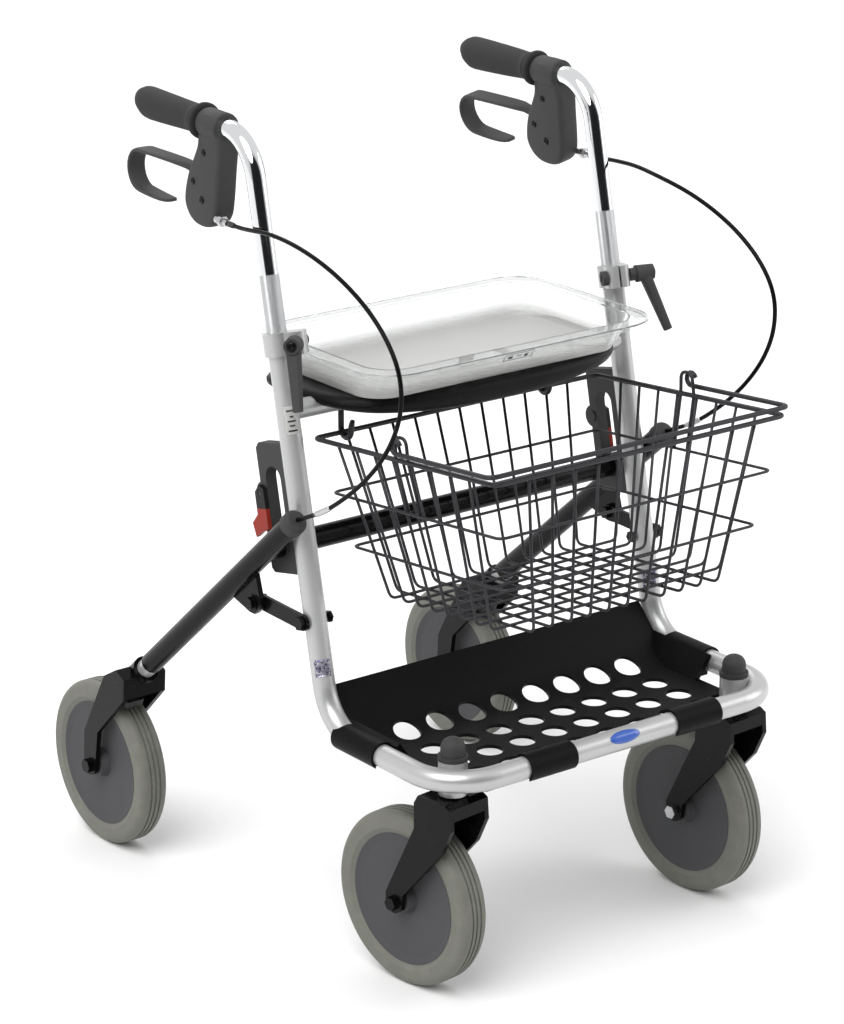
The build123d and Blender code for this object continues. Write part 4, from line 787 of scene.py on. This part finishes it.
class WALKER_OT_handles(PieceMaker, bpy.types.Operator):
    """Makes the grips and the brake bodies, and finishes the tubes and levers"""
    bl_idname = "walker.handles"
    bl_label = "Handles"

    def execute(self, context):
        coat("handle_chrome", *both("handle_tube"))
        coat("zinc_plate", *both("cable_adjuster"))
        for side, sign in SIDES:
            self.grip(side, sign)
            self.lever(side, sign)
            self.brake_body(side, sign)
        return {"FINISHED"}

    def grip(self, side, sign):
        """A grip with a flange, a neck, a palm swell and a slanted rounded end."""
        sections = (
            (0.0930, 0.0172, 0.0172, 0), (0.0935, 0.0196, 0.0196, 0), (0.0952, 0.0205, 0.0205, 0),
            (0.0978, 0.0204, 0.0204, 0), (0.0995, 0.0190, 0.0192, 0), (0.1012, 0.0166, 0.0168, 0),
            (0.1030, 0.0160, 0.0162, 0), (0.1042, 0.0170, 0.0172, 0), (0.1066, 0.0171, 0.0173, 0),
            (0.1078, 0.0160, 0.0162, 0), (0.1150, 0.0158, 0.0160, 0), (0.1270, 0.0163, 0.0165, 0),
            (0.1420, 0.0170, 0.0170, -0.0002), (0.1620, 0.0178, 0.0176, -0.0004),
            (0.1850, 0.0184, 0.0182, -0.0006), (0.2060, 0.0187, 0.0186, -0.0006),
            (0.2120, 0.0184, 0.0182, -0.0006), (0.2195, 0.0158, 0.0154, -0.0004),
            (0.2255, 0.0118, 0.0112, 0.0), (0.2272, 0.0060, 0.0056, 0.0), (0.2275, 0.0020, 0.0018, 0.0))
        rings = []
        for along, wide, tall, lift in sections:
            ring = []
            for k in range(40):
                a = 2 * pi * k / 40
                # slightly squared section that fills the palm on its upper outer side
                full = min(1.0, max(0.0, (along - 0.11) / 0.03))
                swell = 1.0 + 0.035 * cos(2 * (a - radians(40) * sign)) * full
                slant = 0.005 * sin(a) * min(1.0, max(0.0, (along - 0.19) / 0.02))
                up, across = lift + tall * swell * sin(a), wide * swell * cos(a)
                ring.append(handle_point(sign, along + slant, up, across))
            rings.append(ring)
        bm = bmesh.new()
        loft(bm, rings)
        piece(f"hand_grip_{side}", to_mesh("hand_grip", bm), "grip_rubber", f"handle_{side}",
              (f"grip_{side}",))

    def lever(self, side, sign):
        """A lever: a tongue that widens to a flat strip and hooks back under itself."""
        stations = [(0.100, -0.0620, 0.0086, 0.0120), (0.114, -0.0585, 0.0088, 0.0100),
                    (0.127, -0.0560, 0.0130, 0.0070), (0.141, -0.0550, 0.0205, 0.0052),
                    (0.156, -0.0549, 0.0220, 0.0048), (0.190, -0.0553, 0.0222, 0.0048),
                    (0.214, -0.0558, 0.0222, 0.0048)]
        stations += [(0.226 + 0.0230 * cos(a), -0.079 + 0.0230 * sin(a), 0.0222, 0.0048)
                     for a in (radians(90 - 15 * k) for k in range(13))]
        stations += [(0.212, -0.1030, 0.0220, 0.0046), (0.196, -0.1038, 0.0212, 0.0044),
                     (0.182, -0.1040, 0.0196, 0.0042), (0.173, -0.1036, 0.0166, 0.0040),
                     (0.1685, -0.1032, 0.0110, 0.0034), (0.1675, -0.1031, 0.0050, 0.0020)]
        rings = []
        for i, (along, up, wide, thick) in enumerate(stations):
            before, after = stations[max(0, i - 1)], stations[min(len(stations) - 1, i + 1)]
            run = Vector((after[0] - before[0], after[1] - before[1])).normalized()
            ring = []
            for k in range(20):
                a = 2 * pi * k / 20
                w = wide / 2 * abs(cos(a)) ** 0.35 * (1 if cos(a) > 0 else -1)
                t = thick / 2 * abs(sin(a)) ** 0.6 * (1 if sin(a) > 0 else -1)
                ring.append(handle_point(sign, along - run.y * t, up + run.x * t, w))
            rings.append(ring)
        bm = bmesh.new()
        loft(bm, rings)
        piece(f"lever_strip_{side}", to_mesh("lever_strip", bm), "black_plastic", f"brake_lever_{side}",
              (f"brake_lever_{side}",))

    def brake_body(self, side, sign):
        """A pear-shaped brake body with soft edges, its clamp round the tube and its screws."""
        outline = smooth_outline(((0.0500, 0.0120), (0.0470, -0.0080), (0.0440, -0.0260), (0.0475, -0.0500),
                                  (0.0520, -0.0800), (0.0575, -0.1000), (0.0720, -0.1130), (0.0950, -0.1150),
                                  (0.1120, -0.1080), (0.1215, -0.0940), (0.1205, -0.0780), (0.1130, -0.0580),
                                  (0.1020, -0.0400), (0.0930, -0.0240), (0.0900, -0.0060),
                                  (0.0880, 0.0120)), 5)
        half, roll = 0.0135, 0.0060
        rings = []
        for across in (-1.0, -0.97, -0.88, -0.74, -0.5, 0.0, 0.5, 0.74, 0.88, 0.97, 1.0):
            past = max(0.0, abs(across) * half - (half - roll)) / roll
            inset = roll * (1 - sqrt(max(0.0, 1 - past * past)))
            rings.append([handle_point(sign, p.x, p.y, across * half) for p in shrunk(outline, inset)])
        bm = bmesh.new()
        loft(bm, rings)
        mesh = to_mesh("brake_body", bm)
        body = piece(f"brake_body_{side}", mesh, "black_plastic", f"handle_{side}",
                     (f"brake_housing_{side}",))
        # slot in which the lever's tongue moves
        bm = bmesh.new()
        px, pz = LEVER_PIVOT
        corners = ((px - 0.014, pz - 0.014), (0.135, pz - 0.026),
                   (0.135, pz + 0.034), (px - 0.014, pz + 0.014))
        loft(bm, [[handle_point(sign, x, z, a) for x, z in corners] for a in (-0.0049, 0.0049)])
        cutter = bpy.data.objects.new("lever_slot", to_mesh("lever_slot", bm))
        bpy.context.scene.collection.objects.link(cutter)
        cut = body.modifiers.new("slot", "BOOLEAN")
        cut.operation = "DIFFERENCE"
        cut.solver = "EXACT"
        cut.object = cutter
        bpy.context.view_layer.update()
        carved = bpy.data.meshes.new_from_object(body.evaluated_get(bpy.context.evaluated_depsgraph_get()))
        body.modifiers.clear()
        body.data = carved
        bpy.data.objects.remove(cutter)
        # clamp round the tube, and three screws on each face
        bm = bmesh.new()
        axis = handle_point(sign, 1, 0) - handle_point(sign, 0, 0)
        turned(bm, ((0.049, 0.0112), (0.049, 0.0150), (0.0500, 0.0162), (0.0520, 0.0167), (0.0860, 0.0167),
                    (0.0885, 0.0160), (0.0890, 0.0150), (0.0905, 0.0150), (0.0915, 0.0138), (0.0922, 0.0112)),
               handle_point(sign, 0, 0), axis, 48)
        piece(f"brake_clamp_{side}", to_mesh("brake_clamp", bm), "black_plastic",
              f"handle_{side}")
        bm = bmesh.new()
        outward = handle_point(sign, 0, 0, sign) - handle_point(sign, 0, 0)
        screws = ((*LEVER_PIVOT, 0.0040), (0.0820, -0.0840, 0.0046), (0.0760, -0.0300, 0.0040))
        for along, up, radius in screws:
            button_screw(bm, handle_point(sign, along, up, sign * half * 0.96), outward, radius, 0.0022)
            button_screw(bm, handle_point(sign, along, up, -sign * half * 0.96), -outward, radius, 0.0022)
        piece(f"brake_screws_{side}", to_mesh("brake_screws", bm), "black_powder",
              f"handle_{side}")


class WALKER_OT_seat(PieceMaker, bpy.types.Operator):
    """Makes the moulded seat with its rolled edge"""
    bl_idname = "walker.seat"
    bl_label = "Seat"

    def execute(self, context):
        roll = context.scene.walker_trim.seat_roll
        half = ((0.0, -0.1440), (0.070, -0.1420), (0.130, -0.1330), (0.170, -0.1180), (0.1950, -0.0900),
                (0.2055, -0.0500), (0.2065, -0.0140), (0.2055, 0.0200), (0.1880, 0.0450), (0.1550, 0.0560),
                (0.090, 0.0580))
        points = list(half) + [(0.0, 0.0580)] + [(-x, y) for x, y in half[:0:-1]]
        outline = smooth_outline(points, 6)
        top = 0.6276
        centre = Vector((0.0, -0.043))

        def under(p):
            return 0.6022 + 0.0115 * (abs(p.x) / 0.207) ** 2.2

        rings = []
        for share in (0.25, 0.55, 0.8):
            ring = [centre + (p - centre) * share for p in shrunk(outline, roll)]
            rings.append([Vector((p.x, p.y, under(p))) for p in ring])
        for k in range(7):
            a = radians(90) * k / 6
            ring = shrunk(outline, roll * 0.8 * (1 - sin(a)))
            rings.append([Vector((p.x, p.y, under(p) + roll * 0.8 * (1 - cos(a)))) for p in ring])
        for k in range(8):
            a = radians(90) * k / 7
            ring = shrunk(outline, roll * (1 - cos(a)))
            rings.append([Vector((p.x, p.y, top - roll * 0.9 * (1 - sin(a)))) for p in ring])
        for share, dish in ((0.93, 0.0006), (0.8, 0.0015), (0.55, 0.0018), (0.25, 0.0018)):
            ring = [centre + (p - centre) * share for p in shrunk(outline, roll)]
            rings.append([Vector((p.x, p.y, top - dish)) for p in ring])
        bm = bmesh.new()
        loft(bm, rings)
        seat = piece("seat_pad", to_mesh("seat_pad", bm), "seat_skin", "front_frame_body",
                     ("seat",))
        return {"FINISHED"}


class WALKER_OT_tray(PieceMaker, bpy.types.Operator):
    """Finishes the clear tray and adds the plain mark on its front"""
    bl_idname = "walker.tray"
    bl_label = "Tray"

    def execute(self, context):
        coat("clear_tray", "tray")
        # a printed frame with three plain marks on the front wall
        bm = bmesh.new()
        low, up = Vector((0.0, -0.1335, 0.6284)), Vector((0.0, -0.1615, 0.6680))
        along, out = (up - low).normalized(), Vector((0, -0.0396, -0.0280)).normalized()
        middle = Vector((0.010, 0, 0)) + low + (up - low) * 0.60 + out * 0.0003
        marks = ((0, 0.0052, 0.040, 0.0007), (0, -0.0052, 0.040, 0.0007), (-0.0197, 0, 0.0007, 0.0104),
                 (0.0197, 0, 0.0007, 0.0104), (-0.011, 0, 0.006, 0.006), (0.001, 0, 0.007, 0.0012),
                 (0.011, 0, 0.005, 0.006))
        for x, z, wide, tall in marks:
            centre = middle + Vector((x, 0, 0)) + along * z
            loft(bm, [[centre + Vector((a * wide / 2, 0, 0)) + along * (b * tall / 2) + out * lift
                       for a, b in ((-1, -1), (1, -1), (1, 1), (-1, 1))] for lift in (0.0, 0.0002)])
        piece("tray_mark", to_mesh("tray_mark", bm), "print_grey", "tray_body")
        return {"FINISHED"}


class WALKER_OT_basket(PieceMaker, bpy.types.Operator):
    """Makes the wire basket, its ears and its bail, and finishes the hooks"""
    bl_idname = "walker.basket"
    bl_label = "Basket"

    def execute(self, context):
        s = context.scene.walker_basket
        c, t = cos(BASKET_TILT), sin(BASKET_TILT)
        middle = Vector((0, BASKET_BACK[0] - s.rim_length / 2 * c, BASKET_BACK[1] + s.rim_length / 2 * t))

        def at(x, back, up):
            return middle + Vector((x, back * c + up * t, -back * t + up * c))

        def half_sizes(up):
            share = -up / s.depth
            return (s.rim_width / 2 + (s.floor_width - s.rim_width) / 2 * share,
                    s.rim_length / 2 + (s.floor_length - s.rim_length) / 2 * share)

        def ring(up, grow=0.0):
            w, l = half_sizes(up)
            w, l = w + grow, l + grow
            return bent([at(w, -l, up), at(w, l, up), at(-w, l, up), at(-w, -l, up)], 0.010, 6, True)

        bm = bmesh.new()
        wire = s.wire / 2
        sweep(bm, ring(0.0), s.rim_wire / 2, 14, True)
        for up in (-s.depth * 0.34, -s.depth * 0.68):
            sweep(bm, ring(up, wire), wire, 10, True)
        wide, long = half_sizes(0.0)
        low_wide, low_long = half_sizes(-s.depth)
        # long wires run down the back wall, across the floor and up the front wall
        for k in range(1, s.columns):
            share = 2 * k / s.columns - 1
            x, low_x = share * (wide - 0.012), share * (low_wide - 0.006)
            sweep(bm, bent([at(x, long, 0.0), at(low_x, low_long, -s.depth), at(low_x, -low_long, -s.depth),
                            at(x, -long, 0.0)], 0.010), wire, 10)
        for k in range(1, s.side_columns):
            share = 2 * k / s.side_columns - 1
            y, low_y = share * (long - 0.012), share * (low_long - 0.006)
            sweep(bm, bent([at(wide, y, 0.0), at(low_wide, low_y, -s.depth + s.wire),
                            at(-low_wide, low_y, -s.depth + s.wire), at(-wide, y, 0.0)], 0.010), wire, 10)
        # an ear on the middle of each side
        for sign in (-1, 1):
            low = half_sizes(-s.depth * 0.34)[0]
            sweep(bm, bent([at(sign * low, -0.011, -s.depth * 0.34), at(sign * wide, -0.011, 0.0),
                            at(sign * wide, -0.009, 0.0255), at(sign * wide, 0.009, 0.0255),
                            at(sign * wide, 0.011, 0.0), at(sign * low, 0.011, -s.depth * 0.34)], 0.009, 7),
                  wire * 1.15, 12)
        piece("basket_wires", to_mesh("basket_wires", bm), "black_wire", "basket_body",
              ("basket",))

        reach = s.rim_length / 2
        out = wide + s.rim_wire / 2 + 0.004
        lift = 0.009
        bm = bmesh.new()
        corners = [at(-out, 0.0, lift), at(-out, -reach, lift), at(out, -reach, lift), at(out, 0.0, lift)]
        curl = []
        for k in range(10):
            a = radians(250) * (1 - k / 9)
            curl.append((0.0075 * sin(a), 0.0075 * (1 - cos(a))))
        left = [at(-out, y, lift + z) for y, z in curl]
        right = [at(out, y, lift + z) for y, z in curl]
        path = left + bent(corners, 0.011, 8)[1:-1] + right[::-1]
        sweep(bm, path, 0.0028, 12)
        piece("bail_wire", to_mesh("bail_wire", bm), "black_wire", "bail_body",
              ("basket_bail",))
        bm = bmesh.new()
        stem, tip, low = -0.0497, -0.0681, 0.5763
        for x in HOOK_PLACES:
            bend = [Vector((x, (stem + tip) / 2 + (stem - tip) / 2 * cos(a), low - (stem - tip) / 2 * sin(a)))
                    for a in (radians(180) * k / 12 for k in range(13))]
            shank = [Vector((x, stem, 0.6035)), Vector((x, stem, 0.590))]
            point = [Vector((x, tip - 0.0012, 0.5835)), Vector((x, tip - 0.0030, 0.5890))]
            path = shank + bend + point
            sweep(bm, path, [0.0034] * (len(path) - 1) + [0.0026], 14)
        a, b = HOOK_PLACES
        bar = ((-0.0512, 0.5965), (-0.0482, 0.5965), (-0.0482, 0.6018), (-0.0512, 0.6018))
        loft(bm, [[Vector((x, y, z)) for y, z in bar] for x in (a, b)])
        piece("hook_wires", to_mesh("hook_wires", bm), "black_wire", "front_frame_body",
              ("basket_hooks",))
        return {"FINISHED"}


class WALKER_OT_shelf(PieceMaker, bpy.types.Operator):
    """Finishes the moulded foot shelf"""
    bl_idname = "walker.shelf"
    bl_label = "Foot shelf"

    def execute(self, context):
        coat("shelf_plastic", "foot_shelf")
        return {"FINISHED"}


class WALKER_OT_wheels(PieceMaker, bpy.types.Operator):
    """Finishes the four solid wheels, their axles and nuts"""
    bl_idname = "walker.wheels"
    bl_label = "Wheels"

    def execute(self, context):
        coat("tyre_rubber", *both("rear_tyre", "front_tyre"))
        coat("hub_plastic", *both("rear_hub", "front_hub"))
        coat("black_powder", *both("rear_axle"))
        coat("zinc_plate", "caster_axle_left")
        coat("black_powder", "caster_axle_right")
        return {"FINISHED"}


def leg_patch(name, side_sign, up, height, facing, width, finish_name, body, lift=0.00025):
    """A thin patch wrapped on a leg; facing is the angle from straight ahead toward the right."""
    bm = bmesh.new()
    rings = []
    columns, rows = 12, 6
    spread = width / LEG_RADIUS
    ahead = -(leg_point(0, 1, 0) - leg_point(0, 0, 0))
    for r in range(rows + 1):
        row = []
        for k in range(columns + 1):
            a = facing + spread * (k / columns - 0.5)
            way = ahead * cos(a) + Vector((-1, 0, 0)) * sin(a)
            row.append(bm.verts.new(leg_point(side_sign * LEG_X, 0, up + height * (r / rows - 0.5))
                                    + way * (LEG_RADIUS + lift)))
        rings.append(row)
    for low, high in zip(rings, rings[1:]):
        for k in range(columns):
            bm.faces.new((low[k], low[k + 1], high[k + 1], high[k]))
    bmesh.ops.solidify(bm, geom=bm.faces[:], thickness=0.0002)
    return piece(name, to_mesh(name, bm), finish_name, body)


class WALKER_OT_labels(PieceMaker, bpy.types.Operator):
    """Adds the reflective patches, the plain labels and the badge"""
    bl_idname = "walker.labels"
    bl_label = "Labels"

    def execute(self, context):
        size = context.scene.walker_trim.reflector
        for side, sign in SIDES:
            leg_patch(f"reflector_{side}", sign, 0.0705, size, radians(30), 0.0185, "reflective_film",
                      "front_frame_body")
        label_up, facing = 0.345, radians(18)
        leg_patch("leg_label", -1, label_up, 0.031, facing, 0.015, "label_film", "front_frame_body")
        marks = ((0.0105, 0.010), (0.004, 0.004), (-0.001, 0.009), (-0.006, 0.006), (-0.0115, 0.010))
        for k, (up, width) in enumerate(marks):
            leg_patch(f"leg_label_mark_{k}", -1, label_up + up, 0.0018, facing, width, "print_grey",
                      "front_frame_body", 0.0005)
        # plain oval badge on the front rail
        bm = bmesh.new()
        rings = []
        for grow, lift in ((1.0, -0.0003), (1.0, 0.0006), (0.92, 0.0010), (0.6, 0.0012)):
            ring = []
            for k in range(36):
                a = 2 * pi * k / 36
                x, turn = 0.0205 * grow * cos(a) - 0.003, 0.0072 * grow * sin(a) / LEG_RADIUS
                way = Vector((0, -cos(radians(34) + turn), sin(radians(34) + turn)))
                ring.append(Vector((x, -0.3455, 0.265)) + way * (LEG_RADIUS + lift))
            rings.append(ring)
        loft(bm, rings)
        piece("rail_badge", to_mesh("rail_badge", bm), "badge_blue", "front_frame_body")
        return {"FINISHED"}


class VIEW3D_PT_walker(bpy.types.Panel):
    """Lists the walking frame's operators and settings"""
    bl_idname = "VIEW3D_PT_walker"
    bl_label = "Walking Frame"
    bl_space_type = "VIEW_3D"
    bl_region_type = "UI"
    bl_category = "Walking Frame"

    def draw(self, context):
        for operator in OPERATORS:
            self.layout.operator(operator.bl_idname)
        for name, group in SETTINGS:
            box = self.layout.box()
            box.label(text=group.__doc__)
            for key in group.__annotations__:
                box.prop(getattr(context.scene, name), key)


SETTINGS = (("walker_stage", StageSettings), ("walker_finishes", FinishSettings),
            ("walker_basket", BasketSettings), ("walker_trim", TrimSettings))
OPERATORS = (WALKER_OT_stage, WALKER_OT_cables, WALKER_OT_frame, WALKER_OT_clamps, WALKER_OT_handles,
             WALKER_OT_seat, WALKER_OT_tray, WALKER_OT_basket, WALKER_OT_shelf, WALKER_OT_wheels,
             WALKER_OT_labels)


def register():
    """Registers the settings, the operators and the panel."""
    for name, group in SETTINGS:
        bpy.utils.register_class(group)
        setattr(bpy.types.Scene, name, PointerProperty(type=group))
    for operator in (*OPERATORS, VIEW3D_PT_walker):
        bpy.utils.register_class(operator)


def unregister():
    """Removes them again."""
    for operator in (VIEW3D_PT_walker, *OPERATORS[::-1]):
        bpy.utils.unregister_class(operator)
    for name, group in SETTINGS[::-1]:
        delattr(bpy.types.Scene, name)
        bpy.utils.unregister_class(group)


def main():
    """Makes every piece in order, then writes the two boxes."""
    register()
    for operator in OPERATORS:
        group, name = operator.bl_idname.split(".")
        getattr(getattr(bpy.ops, group), name)()


if __name__ == "__main__":
    main()
